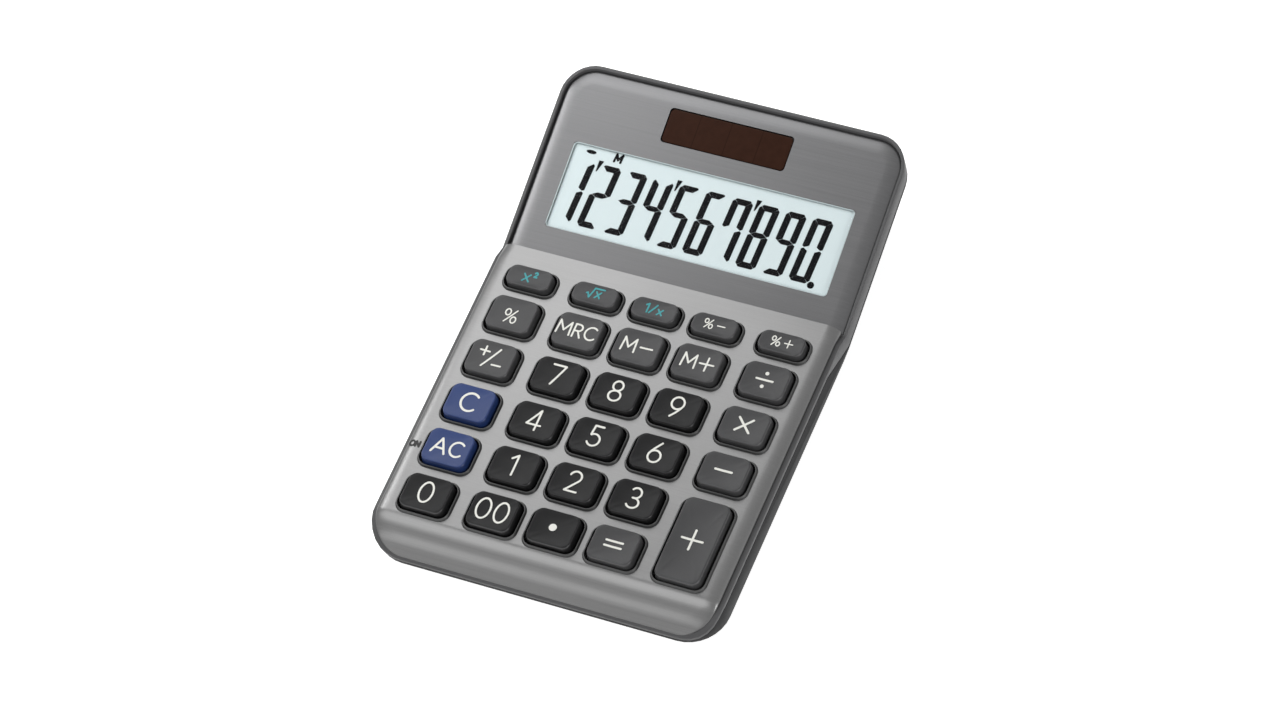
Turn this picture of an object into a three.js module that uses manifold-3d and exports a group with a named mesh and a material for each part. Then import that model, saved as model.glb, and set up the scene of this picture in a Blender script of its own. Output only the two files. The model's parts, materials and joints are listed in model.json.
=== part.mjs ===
// Desk calculator with a raised display, a solar cell and sprung keys.
// Millimetres. +X is to the right, +Y to the rear and +Z up. The origin is on the
// ground, under the middle of the object's box. The case is drawn in the frame of its
// keyboard face (z = 0 on the face, y = 0 at the last row of keys) and then tilted.
import * as THREE from 'three';
import { mergeVertices } from 'three/addons/utils/BufferGeometryUtils.js';
import Module from 'manifold-3d';

const wasm = await Module();
wasm.setup();

// ---- driving dimensions -------------------------------------------------------------

const DEGREE = Math.PI / 180;
const GAP = 0.3;                 // clearance between a piece and its neighbour
const BEYOND = 30;               // reach of a cutter past the piece it cuts
const CORNER_STEPS = 8;          // facets round a corner of the case

const CASE_WIDTH = 103;
const FRONT_RADIUS = 11;         // corner radii of the case in plan
const REAR_RADIUS = 9.5;
const FACE_TILT = 3 * DEGREE;    // keyboard face to the ground
const FACE_HEIGHT = 12.6;        // keyboard face above the ground at the last row
const DISPLAY_TILT = 13.3 * DEGREE;   // display panel to the keyboard face
const DISPLAY_DROP = 3.76;       // display panel below the keyboard face where they meet
const FRONT_MARGIN = 10.2;       // case in front of the last row of sockets
const JUNCTION_MARGIN = 6.4;     // keyboard plate behind the first row of sockets
const REAR_MARGIN = 6.25;        // case behind the solar cell, along the panel

const SOCKET_SIDE_MARGIN = 6.05; // from the side of the case to the outer sockets
const INNER_RIB = 2.1;           // between the sockets of the three middle columns
const OUTER_RIB = 4.1;           // between those and the outer sockets
const SOCKET_LENGTH = 11.85;
const SOCKET_RADIUS = 3.0;
const SHORT_SOCKET_LENGTH = 7.75;    // first row
const ROW_PITCH = 14.68;
const SHORT_ROW_PITCH = 14.34;   // from the second row to the first, front edges

const KEY_CLEARANCE = 0.45;      // round the key in its socket
const KEY_RISE = 2.6;            // key top above the face
const KEY_SHOULDER = 1.7;        // height where the key's sides turn in to its top
const KEY_TAPER = 0.4;           // inset of the shoulder
const KEY_CORNER = 0.5;          // least corner radius of a key
const KEY_CROWN = 1.1;           // inset of the top
const KEY_TRAVEL = 1.5;
const FLANGE_OVERLAP = 0.45;     // key flange under the deck
const FLANGE_THICKNESS = 0.7;

const PLATE_EDGE = 0.4;          // thickness of the keyboard plate at its edge
const PLATE_INSET = 1.2;         // from the outside of the case to the plate
const EDGE_DROP = 1.3;           // how far the plate curves down at its sides
const EDGE_CURVE = 4.8;          // width of that curve
const REAR_EDGE_DROP = 2.6;      // the same at the plate's rear corners
const CHIN_START = -1.2;         // where the face turns down to the front
const CHIN_SLOPE = 0.93;
const CHIN_EASE = 1.5;

const DECK = 1.3;                // thickness of the upper case under the plates
const FRONT_DECK = 0.9;          // the same at the front edge
const RIM_WIDTH = 0.9;           // rim of the upper case round the display
const RIM_PROUD = 0.2;
const GROOVE = 0.6;              // between that rim and the display panel
const PANEL = 1.2;               // display panel thickness
const PANEL_BEVEL = 3.8;
const PANEL_EDGE_DROP = 0.9;
const DISPLAY_SKIRT = 4.7;       // panel surface to the parting line
const REAR_SLOPE = 4.2;          // length over which the deck steps down to the display
const SKIRT_SLOPE = 14;          // length over which the parting line does
const WALL = 1.8;
const BAND_DEPTH = 9.75;         // keyboard face to the lower edge of the side band
const DISPLAY_BAND_DEPTH = 5.6;  // the same under the display
const BASE_SIDE_INSET = 11;      // base of the lower case inside the band
const BASE_FRONT_INSET = 2.2;
const BASE_REAR_INSET = 8.5;
const BASE_RADIUS = 8;
const FLOOR = 2.0;

const WINDOW_OFFSET = 9.25;      // from the junction along the panel
const WINDOW_SIDE_MARGIN = 9.25; // from the side of the case to the window
const WINDOW_LENGTH = 25.65;
const WINDOW_RADIUS = 1.0;
const SOLAR_SPACING = 5.7;       // from the window to the solar cell
const SOLAR_WIDTH = 37.5;
const SOLAR_LENGTH = 10.7;
const SOLAR_RADIUS = 0.8;
const WINDOW_SINK = 0.1;         // below the panel surface
const WINDOW = 0.4;              // thickness
const CELL_BORDER = 1.7;         // rear glass of the liquid crystal cell beyond the window
const CELL_THICKNESS = 2.2;      // of that rear glass
const REFLECTOR = 0.4;
const TRAY_WALL = 1.5;
const TRAY_FLOOR = 1.2;
const RIBBON = 0.3;

const BOARD_SIDE_MARGIN = 5.5;   // from the side of the case
const BOARD = 1.2;
const BOARD_FRONT = -1.8;
const BOARD_REAR_MARGIN = 1.2;   // from the junction
const LAP = 2;                   // ribbon and leads on the board
const MAT = 0.6;
const MAT_INSET = 0.8;           // from the edge of the board
const MAT_REAR_SETBACK = 3.5;
const DOME_RADIUS = 3.4;
const DOME_TOP_RADIUS = 2.2;
const DOME_HEIGHT = 0.8;         // pressed flat
const CHIP_RADIUS = 7;
const CHIP_HEIGHT = 1.6;

const FOOT_RADIUS = 5;
const FOOT_PROUD = 1.0;
const FOOT_RECESS = 0.8;
const FOOT_SIDE_MARGIN = 18.5;   // from the side of the case
const FRONT_FOOT = 3;
const REAR_FOOT_MARGIN = 9;      // from the rear of the base

const SCREW_SHANK = 1.2;         // radii
const SCREW_HEAD = 2.4;
const SCREW_HEAD_HEIGHT = 1.2;
const SCREW_LENGTH = 6;
const BOSS_WALL = 1.2;
const FRONT_SCREW_SIDE_MARGIN = 15.5;
const FRONT_SCREW_MARGIN = 5.2;  // from the front of the case
const REAR_SCREW_SIDE_MARGIN = 29.5;
const REAR_SCREW_MARGIN = 14;    // from the rear of the case

const BATTERY_RADIUS = 5.8;
const BATTERY_THICKNESS = 5.4;
const BATTERY_SIDE_MARGIN = 21.5;
const BATTERY_SETBACK = 11;      // from the junction
const DOOR_WIDTH = 18;
const DOOR_FRONT = 9;            // door in front of the battery's axis
const DOOR_REAR = 16;            // door behind it
const DOOR = 1.4;
const DOOR_LEDGE = 1.5;          // width of the ledge that stops the door
const DOOR_PAD = 1.2;            // extra floor round the door
const DOOR_RADIUS = 2;
const DOOR_SCREW_INSET = 3.6;    // screw from the rear edge of the door
const DOOR_SCREW_SHANK = 0.9;
const DOOR_SCREW_HEAD = 1.8;
const DOOR_SCREW_HEAD_HEIGHT = 0.7;
const DOOR_SCREW_LENGTH = 4;
const CONTACT = 0.4;             // contact strip thickness
const CONTACT_WIDTH = 5;
const WIRE_RADIUS = 0.5;
const WIRE_SPACING = 3;          // each lead from the side of the ribbon
const WIRE_SIDE = 7;             // each lead from a rear screw
const WIRE_CLEARANCE = 1;        // round a lead in its hole
const WIRE_DROP = 6.9;           // leads below the panel surface
const WIRE_BEND = 2.5;

// ---- derived places -----------------------------------------------------------------

const HALF_WIDTH = CASE_WIDTH / 2;
const SOCKET_WIDTH = (CASE_WIDTH - 2 * (SOCKET_SIDE_MARGIN + OUTER_RIB + INNER_RIB)) / 5;
const INNER_COLUMN = SOCKET_WIDTH + INNER_RIB;
const OUTER_COLUMN = HALF_WIDTH - SOCKET_SIDE_MARGIN - SOCKET_WIDTH / 2;
const COLUMNS = [-OUTER_COLUMN, -INNER_COLUMN, 0, INNER_COLUMN, OUTER_COLUMN];
const ROW_FRONTS = [4 * ROW_PITCH + SHORT_ROW_PITCH, ...[4, 3, 2, 1, 0].map((row) => row * ROW_PITCH)];
const CASE_FRONT = -FRONT_MARGIN;
const JUNCTION = ROW_FRONTS[0] + SHORT_SOCKET_LENGTH + JUNCTION_MARGIN;
const PANEL_LENGTH = WINDOW_OFFSET + WINDOW_LENGTH + SOLAR_SPACING + SOLAR_LENGTH + REAR_MARGIN;
const CASE_REAR = JUNCTION + PANEL_LENGTH * Math.cos(DISPLAY_TILT);
const CHIN_LENGTH = CHIN_START - CASE_FRONT;
const DECK_TOP = -EDGE_DROP - PLATE_EDGE - GAP;      // upper case under the keyboard plate
const DECK_BOTTOM = DECK_TOP - DECK;
const FLANGE_TOP = DECK_BOTTOM - GAP;
const FLANGE_BOTTOM = FLANGE_TOP - FLANGE_THICKNESS;
const DOME_TOP = FLANGE_BOTTOM - KEY_TRAVEL - GAP;
const MAT_TOP = DOME_TOP - DOME_HEIGHT;
const BOARD_TOP = MAT_TOP - MAT - GAP;
const BOARD_BOTTOM = BOARD_TOP - BOARD;
const BOARD_REAR = JUNCTION - BOARD_REAR_MARGIN;
const PANEL_RIM = RIM_WIDTH + GROOVE;
const WINDOW_WIDTH = CASE_WIDTH - 2 * WINDOW_SIDE_MARGIN;
const BOARD_HALF_WIDTH = HALF_WIDTH - BOARD_SIDE_MARGIN;
const FOOT_X = HALF_WIDTH - FOOT_SIDE_MARGIN;
const FRONT_SCREW_X = HALF_WIDTH - FRONT_SCREW_SIDE_MARGIN;
const REAR_SCREW_X = HALF_WIDTH - REAR_SCREW_SIDE_MARGIN;
const BATTERY_X = HALF_WIDTH - BATTERY_SIDE_MARGIN;
const LEAD_X = REAR_SCREW_X - WIRE_SIDE;
const RIBBON_WIDTH = 2 * (LEAD_X - WIRE_SPACING);
const FACE_STATIONS = [JUNCTION - SKIRT_SLOPE, JUNCTION - REAR_SLOPE];   // where the sides bend
const CASE_STATIONS = [...FACE_STATIONS, JUNCTION];

const displayAt = (y) => (y - JUNCTION) * Math.tan(DISPLAY_TILT) - DISPLAY_DROP;
const baseAt = (y) => -(FACE_HEIGHT - FOOT_PROUD) / Math.cos(FACE_TILT) - y * Math.tan(FACE_TILT);
const mix = (a, b, share) => a + (b - a) * Math.min(Math.max(share, 0), 1);
const chinShare = (y) => (CHIN_START - y) / CHIN_LENGTH;
const rearShare = (y) => (y - JUNCTION + REAR_SLOPE) / REAR_SLOPE;
const skirtShare = (y) => (y - JUNCTION + SKIRT_SLOPE) / SKIRT_SLOPE;

// Height of the face, of the deck and of the case's edges at a distance y up the face.
function faceAt(y) {
  const past = Math.max(CHIN_START - y, 0);
  return -CHIN_SLOPE * (Math.hypot(past, CHIN_EASE) - CHIN_EASE);
}

function plateDropAt(y) {
  return y < 0 ? mix(EDGE_DROP, 0, chinShare(y)) : mix(EDGE_DROP, REAR_EDGE_DROP, rearShare(y));
}

function rimAt(y) {
  if (y > JUNCTION) return displayAt(y) + RIM_PROUD;
  const deck = faceAt(y) - mix(EDGE_DROP, 0, chinShare(y)) - PLATE_EDGE - GAP;
  return mix(deck, displayAt(JUNCTION) + RIM_PROUD, rearShare(y));
}

function deckBottomAt(y) {
  if (y > JUNCTION) return displayAt(y) - PANEL - GAP - DECK;
  const bottom = rimAt(Math.min(y, JUNCTION - REAR_SLOPE)) - mix(DECK, FRONT_DECK, chinShare(y));
  return mix(bottom, displayAt(JUNCTION) - PANEL - GAP - DECK, rearShare(y));
}

function partingAt(y) {
  const skirt = displayAt(Math.max(y, JUNCTION)) - DISPLAY_SKIRT;
  if (y > JUNCTION) return skirt;
  return mix(deckBottomAt(Math.min(y, JUNCTION - SKIRT_SLOPE)), skirt, skirtShare(y));
}

const bandAt = (y) => Math.max(-BAND_DEPTH, displayAt(y) - DISPLAY_BAND_DEPTH);

// ---- solids -------------------------------------------------------------------------

// Right half of a rounded rectangle, from its front edge to its rear edge.
function outline({ halfWidth, front, rear, frontRadius = 0, rearRadius = 0, stations = [], steps = 2 }) {
  const points = [];
  const corner = (y, radius, from) => {
    const count = radius > 0 ? steps : 0;
    for (let i = 0; i <= count; i += 1) {
      const angle = from + (count ? (i / count) * 90 * DEGREE : 0);
      points.push([halfWidth - radius + radius * Math.cos(angle), y + radius * Math.sin(angle)]);
    }
  };
  corner(front + frontRadius, frontRadius, -90 * DEGREE);
  for (const y of stations) points.push([halfWidth, y]);
  corner(rear - rearRadius, rearRadius, 0);
  return points;
}

// A closed ring through an outline and its mirror image, at a height that may vary.
function ring(points, height) {
  const at = typeof height === 'function' ? height : () => height;
  const right = points.map(([x, y]) => [x, y, at(y)]);
  const left = [...right].reverse().map(([x, y, z]) => [-x, y, z]);
  return [...right, ...left];
}

// A solid through rings from the lowest to the highest, closed by strips across its ends.
function loft(rings) {
  const count = rings[0].length;
  const half = count / 2;
  const index = [];
  for (let level = 0; level + 1 < rings.length; level += 1) {
    for (let i = 0; i < count; i += 1) {
      const a = level * count + i;
      const b = level * count + ((i + 1) % count);
      index.push(a, b, b + count, a, b + count, a + count);
    }
  }
  const top = (rings.length - 1) * count;
  for (let i = 0; i + 1 < half; i += 1) {
    const [a, b, c, d] = [i, i + 1, count - 2 - i, count - 1 - i];
    index.push(a, c, b, a, d, c);
    index.push(top + a, top + b, top + c, top + a, top + c, top + d);
  }
  const geometry = new THREE.BufferGeometry();
  geometry.setAttribute('position', new THREE.Float32BufferAttribute(rings.flat(2), 3));
  geometry.setIndex(index);
  return geometry;
}

function toManifold(geometry) {
  let shape = geometry.clone();
  shape.deleteAttribute('normal');
  shape.deleteAttribute('uv');
  shape = mergeVertices(shape, 1e-5);
  return new wasm.Manifold(new wasm.Mesh({
    numProp: 3,
    vertProperties: new Float32Array(shape.attributes.position.array),
    triVerts: new Uint32Array(shape.index.array),
  }));
}

function fromManifold(solid) {
  const mesh = solid.getMesh();
  const geometry = new THREE.BufferGeometry();
  geometry.setAttribute('position', new THREE.BufferAttribute(mesh.vertProperties, 3));
  geometry.setIndex(new THREE.BufferAttribute(mesh.triVerts, 1));
  return geometry;
}

function join(geometries) {
  return fromManifold(geometries.map(toManifold).reduce((a, b) => a.add(b)));
}

function cut(geometry, tools) {
  return fromManifold(tools.map(toManifold).reduce((a, b) => a.subtract(b), toManifold(geometry)));
}

function roundedRectangle(width, length, radius) {
  const [x, y] = [width / 2 - radius, length / 2 - radius];
  const shape = new THREE.Shape();
  shape.absarc(x, y, radius, 0, 90 * DEGREE, false);
  shape.absarc(-x, y, radius, 90 * DEGREE, 180 * DEGREE, false);
  shape.absarc(-x, -y, radius, 180 * DEGREE, 270 * DEGREE, false);
  shape.absarc(x, -y, radius, 270 * DEGREE, 360 * DEGREE, false);
  shape.closePath();
  return shape;
}

// A flat plate with rounded corners, centred on x and y, from z = bottom to z = top.
function plate(width, length, radius, bottom, top) {
  const settings = { depth: top - bottom, bevelEnabled: false, curveSegments: 2 };
  const geometry = new THREE.ExtrudeGeometry(roundedRectangle(width, length, radius), settings);
  return geometry.translate(0, 0, bottom);
}

function block(width, length, bottom, top) {
  return new THREE.BoxGeometry(width, length, top - bottom).translate(0, 0, (bottom + top) / 2);
}

function disc(radius, bottom, top, sides = 16) {
  const geometry = new THREE.CylinderGeometry(radius, radius, top - bottom, sides);
  return geometry.rotateX(90 * DEGREE).translate(0, 0, (bottom + top) / 2);
}

// A round post at x, y whose top follows a height along the face.
function post(radius, x, y, bottom, topAt) {
  const circle = outline({
    halfWidth: radius, front: -radius, rear: radius, frontRadius: radius, rearRadius: radius, steps: 3,
  });
  return loft([ring(circle, bottom), ring(circle, (offset) => topAt(y + offset))]).translate(x, y, 0);
}

// A strip with the given outline in the y-z plane, as wide as it is along x.
function strip(points, width) {
  const shape = new THREE.Shape(points.map(([y, z]) => new THREE.Vector2(y, z)));
  const geometry = new THREE.ExtrudeGeometry(shape, { depth: width, bevelEnabled: false });
  const axes = new THREE.Matrix4().set(0, 0, 1, -width / 2, 1, 0, 0, 0, 0, 1, 0, 0, 0, 0, 0, 1);
  return geometry.applyMatrix4(axes);
}

// ---- groups and materials -----------------------------------------------------------

const calculator = new THREE.Group();
const face = new THREE.Group();           // frame of the keyboard face
const display = new THREE.Group();        // frame of the display panel, z = 0 on its surface
calculator.add(face);
face.add(display);
face.position.z = FACE_HEIGHT;
face.rotation.x = FACE_TILT;
display.position.set(0, JUNCTION, -DISPLAY_DROP);
display.rotation.x = DISPLAY_TILT;
calculator.updateMatrixWorld(true);

const GROUND_TO_FACE = face.matrix.clone().invert();
const DISPLAY_TO_FACE = display.matrix.clone();

const FINISHES = {
  bright_metal: [0xb4b4b2, 0.38, 0.9],
  dark_metal: [0x77777a, 0.4, 0.9],
  rim_plastic: [0x6a6a6c, 0.45, 0.1],
  case_plastic: [0x3a3a3b, 0.55, 0],
  black_key: [0x252526, 0.4, 0],
  grey_key: [0x4b4b4c, 0.4, 0],
  blue_key: [0x2d3f86, 0.4, 0],
  clear: [0xdfe8ea, 0.08, 0],
  crystal: [0xcfdfe0, 0.2, 0],
  silver: [0xd8dcdc, 0.3, 0.6],
  solar: [0x2f1b14, 0.15, 0],
  rubber: [0x1c1c1c, 0.9, 0],
  silicone: [0x8c9296, 0.8, 0],
  board: [0x2c5a34, 0.6, 0],
  resin: [0x101010, 0.3, 0],
  steel: [0xb8b9bb, 0.35, 1],
  red: [0x9a2018, 0.6, 0],
  black: [0x151515, 0.6, 0],
  ribbon: [0xb98a3a, 0.5, 0],
};

function addPart(parent, name, geometry, finish, position = [0, 0, 0]) {
  const [color, roughness, metalness] = FINISHES[finish];
  const mesh = new THREE.Mesh(geometry, new THREE.MeshStandardMaterial({ color, roughness, metalness }));
  mesh.name = name;
  mesh.position.set(...position);
  parent.add(mesh);
}

// ---- keys ---------------------------------------------------------------------------

const KEY_ROWS = [
  ['key_cost', 'key_sell', 'key_margin', 'key_tax_minus', 'key_tax_plus'],
  ['key_percent', 'key_memory_recall', 'key_memory_minus', 'key_memory_plus', 'key_divide'],
  ['key_sign', 'key_7', 'key_8', 'key_9', 'key_multiply'],
  ['key_clear', 'key_4', 'key_5', 'key_6', 'key_minus'],
  ['key_all_clear', 'key_1', 'key_2', 'key_3', null],
  ['key_0', 'key_00', 'key_decimal', 'key_equals', 'key_plus'],
];
const BLUE_KEYS = ['key_clear', 'key_all_clear'];
const BLACK_KEYS = ['key_0', 'key_00', 'key_decimal', ...Array.from('123456789', (digit) => `key_${digit}`)];

function keyFinish(name) {
  if (BLUE_KEYS.includes(name)) return 'blue_key';
  return BLACK_KEYS.includes(name) ? 'black_key' : 'grey_key';
}

function socketLength(name, row) {
  if (row === 0) return SHORT_SOCKET_LENGTH;
  return name === 'key_plus' ? ROW_PITCH + SOCKET_LENGTH : SOCKET_LENGTH;
}

const keys = KEY_ROWS.flatMap((names, row) => names.map((name, column) => {
  const length = name && socketLength(name, row);
  return { name, length, x: COLUMNS[column], y: ROW_FRONTS[row] + length / 2 };
})).filter((key) => key.name);

// Key cap with a flange under the deck, tapered sides and a turned-in top.
function keyGeometry(length) {
  const section = (inset) => outline({
    halfWidth: SOCKET_WIDTH / 2 - inset,
    front: inset - length / 2,
    rear: length / 2 - inset,
    frontRadius: Math.max(SOCKET_RADIUS - inset, KEY_CORNER),
    rearRadius: Math.max(SOCKET_RADIUS - inset, KEY_CORNER),
  });
  const skirt = section(KEY_CLEARANCE);
  const flange = section(KEY_CLEARANCE - GAP - FLANGE_OVERLAP);
  return loft([
    ring(flange, FLANGE_BOTTOM),
    ring(flange, FLANGE_TOP),
    ring(skirt, FLANGE_TOP),
    ring(skirt, 0),
    ring(section(KEY_CLEARANCE + KEY_TAPER), KEY_SHOULDER),
    ring(section(KEY_CLEARANCE + KEY_CROWN), KEY_RISE),
  ]);
}

for (const { name, length, x, y } of keys) {
  addPart(face, name, keyGeometry(length), keyFinish(name), [x, y, 0]);
}

// ---- keyboard plate -----------------------------------------------------------------

function keyboardPlate() {
  const section = (inset) => outline({
    halfWidth: HALF_WIDTH - PLATE_INSET - inset,
    front: CASE_FRONT + PLATE_INSET + inset,
    rear: JUNCTION,
    frontRadius: FRONT_RADIUS - PLATE_INSET - inset,
    stations: FACE_STATIONS,
    steps: CORNER_STEPS,
  });
  const curve = (share) => 1 - Math.sqrt(1 - (1 - share) ** 2);
  const rings = [ring(section(0), (y) => rimAt(y) + GAP)];
  for (const share of [0, 0.2, 0.5, 1]) {
    const drop = curve(share);
    rings.push(ring(section(share * EDGE_CURVE), (y) => faceAt(y) - drop * plateDropAt(y)));
  }
  const sockets = keys.map(({ length, x, y }) => (
    plate(SOCKET_WIDTH, length, SOCKET_RADIUS, -BEYOND, BEYOND).translate(x, y, 0)));
  return cut(loft(rings), sockets);
}

addPart(face, 'keyboard_plate', keyboardPlate(), 'bright_metal');

// ---- display panel ------------------------------------------------------------------

const WINDOW_MIDDLE = WINDOW_OFFSET + WINDOW_LENGTH / 2;
const SOLAR_MIDDLE = WINDOW_OFFSET + WINDOW_LENGTH + SOLAR_SPACING + SOLAR_LENGTH / 2;

function panelSection(inset, front) {
  return outline({
    halfWidth: HALF_WIDTH - PANEL_RIM - inset,
    front,
    rear: CASE_REAR - PANEL_RIM - inset,
    rearRadius: REAR_RADIUS - PANEL_RIM - inset,
    steps: CORNER_STEPS,
  });
}

function displayPanel() {
  const front = JUNCTION + GAP;
  const low = (drop) => (y) => displayAt(y) - drop;
  const rings = [
    ring(panelSection(0, front), low(PANEL)),
    ring(panelSection(0, front), low(PANEL_EDGE_DROP)),
    ring(panelSection(PANEL_BEVEL / 2, front), low(PANEL_EDGE_DROP / 4)),
    ring(panelSection(PANEL_BEVEL, front), low(0)),
  ];
  const openings = [
    plate(WINDOW_WIDTH, WINDOW_LENGTH, WINDOW_RADIUS, -BEYOND, BEYOND).translate(0, WINDOW_MIDDLE, 0),
    plate(SOLAR_WIDTH, SOLAR_LENGTH, SOLAR_RADIUS, -BEYOND, BEYOND).translate(0, SOLAR_MIDDLE, 0),
  ];
  return cut(loft(rings), openings.map((opening) => opening.applyMatrix4(DISPLAY_TO_FACE)));
}

addPart(face, 'display_panel', displayPanel(), 'dark_metal');

// ---- display ------------------------------------------------------------------------

const CELL_WIDTH = WINDOW_WIDTH + 2 * CELL_BORDER;
const CELL_LENGTH = WINDOW_LENGTH + 2 * CELL_BORDER;
const CELL_TOP = -PANEL - GAP;
const CELL_BOTTOM = CELL_TOP - CELL_THICKNESS;
const REFLECTOR_TOP = CELL_BOTTOM - GAP;
const REFLECTOR_BOTTOM = REFLECTOR_TOP - REFLECTOR;
const TRAY_TOP = -PANEL - GAP - DECK - 2 * GAP;
const TRAY_BOTTOM = REFLECTOR_BOTTOM - GAP - TRAY_FLOOR;
const POCKET_WIDTH = CELL_WIDTH + 2 * GAP;
const POCKET_LENGTH = CELL_LENGTH + 2 * GAP;
const RIBBON_SLOT = RIBBON_WIDTH + 2 * GAP;

function lcdFrame() {
  const width = POCKET_WIDTH + 2 * TRAY_WALL;
  const length = POCKET_LENGTH + 2 * TRAY_WALL;
  const pocket = block(POCKET_WIDTH, POCKET_LENGTH, REFLECTOR_BOTTOM - GAP, 0);
  const slot = block(RIBBON_SLOT, POCKET_LENGTH, REFLECTOR_BOTTOM - GAP, 0).translate(0, -TRAY_WALL * 2, 0);
  return cut(block(width, length, TRAY_BOTTOM, TRAY_TOP), [pocket, slot]);
}

// A plate that fills the window, with a clearance round it.
function windowPlate(bottom, top) {
  return plate(WINDOW_WIDTH - 2 * GAP, WINDOW_LENGTH - 2 * GAP, WINDOW_RADIUS - GAP, bottom, top);
}

// Rear glass under the panel, and front glass that reaches up into the window.
function lcdCell() {
  const rear = block(CELL_WIDTH, CELL_LENGTH, CELL_BOTTOM, CELL_TOP);
  return join([rear, windowPlate(CELL_BOTTOM + GAP, -WINDOW_SINK - WINDOW - GAP)]);
}

const solarPlate = plate(
  SOLAR_WIDTH - 2 * GAP, SOLAR_LENGTH - 2 * GAP, SOLAR_RADIUS - GAP, -PANEL, -WINDOW_SINK);
const atWindow = [0, WINDOW_MIDDLE, 0];
addPart(display, 'display_window', windowPlate(-WINDOW_SINK - WINDOW, -WINDOW_SINK), 'clear', atWindow);
addPart(display, 'lcd_cell', lcdCell(), 'crystal', atWindow);
addPart(display, 'lcd_reflector', block(CELL_WIDTH, CELL_LENGTH, REFLECTOR_BOTTOM, REFLECTOR_TOP),
  'silver', atWindow);
addPart(display, 'lcd_frame', lcdFrame(), 'case_plastic', atWindow);
addPart(display, 'solar_cell', solarPlate, 'solar', [0, SOLAR_MIDDLE, 0]);

function faceFromDisplay(v, n) {
  const point = new THREE.Vector3(0, v, n).applyMatrix4(DISPLAY_TO_FACE);
  return [point.y, point.z];
}

// Flexible ribbon from the front edge of the liquid crystal cell down to the board.
function lcdRibbon() {
  const [cellY, cellZ] = faceFromDisplay(WINDOW_MIDDLE - CELL_LENGTH / 2 - GAP, CELL_BOTTOM);
  const boardZ = BOARD_TOP + GAP;
  const path = [[BOARD_REAR - LAP, boardZ], [BOARD_REAR, boardZ], [cellY, cellZ]];
  const upper = path.map(([y, z]) => [y, z + RIBBON]).reverse();
  return strip([...path, ...upper], RIBBON_WIDTH);
}

addPart(face, 'lcd_ribbon', lcdRibbon(), 'ribbon');

// ---- board and keypad ---------------------------------------------------------------

const BOARD_LENGTH = BOARD_REAR - BOARD_FRONT;
const BOARD_MIDDLE = (BOARD_REAR + BOARD_FRONT) / 2;
const MAT_REAR = BOARD_REAR - MAT_REAR_SETBACK;
const MAT_FRONT = BOARD_FRONT + MAT_INSET;

// One sheet with a dome under each key.
function keypadMat() {
  const sheet = block(2 * (BOARD_HALF_WIDTH - MAT_INSET), MAT_REAR - MAT_FRONT, MAT_TOP - MAT, MAT_TOP);
  const rise = DOME_HEIGHT + MAT / 2;
  const domes = keys.map(({ x, y }) => (
    new THREE.CylinderGeometry(DOME_TOP_RADIUS, DOME_RADIUS, rise, 8)
      .rotateX(90 * DEGREE).translate(x, y, DOME_TOP - rise / 2)));
  return join([sheet.translate(0, (MAT_REAR + MAT_FRONT) / 2, 0), ...domes]);
}

// A blob of resin under the board.
function controllerChip() {
  const points = [0, 30, 60, 90].map((angle) => (
    new THREE.Vector2(CHIP_RADIUS * Math.sin(angle * DEGREE), -CHIP_HEIGHT * Math.cos(angle * DEGREE))));
  return new THREE.LatheGeometry([...points, new THREE.Vector2(0, 0)], 16).rotateX(90 * DEGREE);
}

addPart(face, 'keypad_mat', keypadMat(), 'silicone');
addPart(face, 'main_board', block(2 * BOARD_HALF_WIDTH, BOARD_LENGTH, BOARD_BOTTOM, BOARD_TOP), 'board',
  [0, BOARD_MIDDLE, 0]);
addPart(face, 'controller_chip', controllerChip(), 'resin',
  [COLUMNS[1], ROW_FRONTS[1], BOARD_BOTTOM - GAP]);

// ---- screws, feet and battery door: places ------------------------------------------

const CASE_SCREWS = [
  ['case_screw_front_left', -FRONT_SCREW_X, CASE_FRONT + FRONT_SCREW_MARGIN],
  ['case_screw_front_right', FRONT_SCREW_X, CASE_FRONT + FRONT_SCREW_MARGIN],
  ['case_screw_rear_left', -REAR_SCREW_X, CASE_REAR - REAR_SCREW_MARGIN],
  ['case_screw_rear_right', REAR_SCREW_X, CASE_REAR - REAR_SCREW_MARGIN],
];
const BASE_REAR = CASE_REAR - BASE_REAR_INSET;
const FEET = [
  ['foot_front_left', -FOOT_X, FRONT_FOOT],
  ['foot_front_right', FOOT_X, FRONT_FOOT],
  ['foot_rear_left', -FOOT_X, BASE_REAR - REAR_FOOT_MARGIN],
  ['foot_rear_right', FOOT_X, BASE_REAR - REAR_FOOT_MARGIN],
];
const BATTERY_Y = JUNCTION + BATTERY_SETBACK;
const DOOR_LENGTH = DOOR_FRONT + DOOR_REAR;
const DOOR_MIDDLE = BATTERY_Y + (DOOR_REAR - DOOR_FRONT) / 2;
const DOOR_SCREW_Y = BATTERY_Y + DOOR_REAR - DOOR_SCREW_INSET;

// Screw seat in the floor: the head is sunk flush with the bottom of the case.
const headTopAt = (y) => baseAt(y) + SCREW_HEAD_HEIGHT + GAP;
const bossEndAt = (y) => baseAt(y) + FLOOR + GAP;
const pilotTopAt = (y) => headTopAt(y) + SCREW_LENGTH + GAP;

// ---- upper case ---------------------------------------------------------------------

function caseSection(inset) {
  return outline({
    halfWidth: HALF_WIDTH - inset,
    front: CASE_FRONT + inset,
    rear: CASE_REAR - inset,
    frontRadius: FRONT_RADIUS - inset,
    rearRadius: REAR_RADIUS - inset,
    stations: CASE_STATIONS,
    steps: CORNER_STEPS,
  });
}

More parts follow.
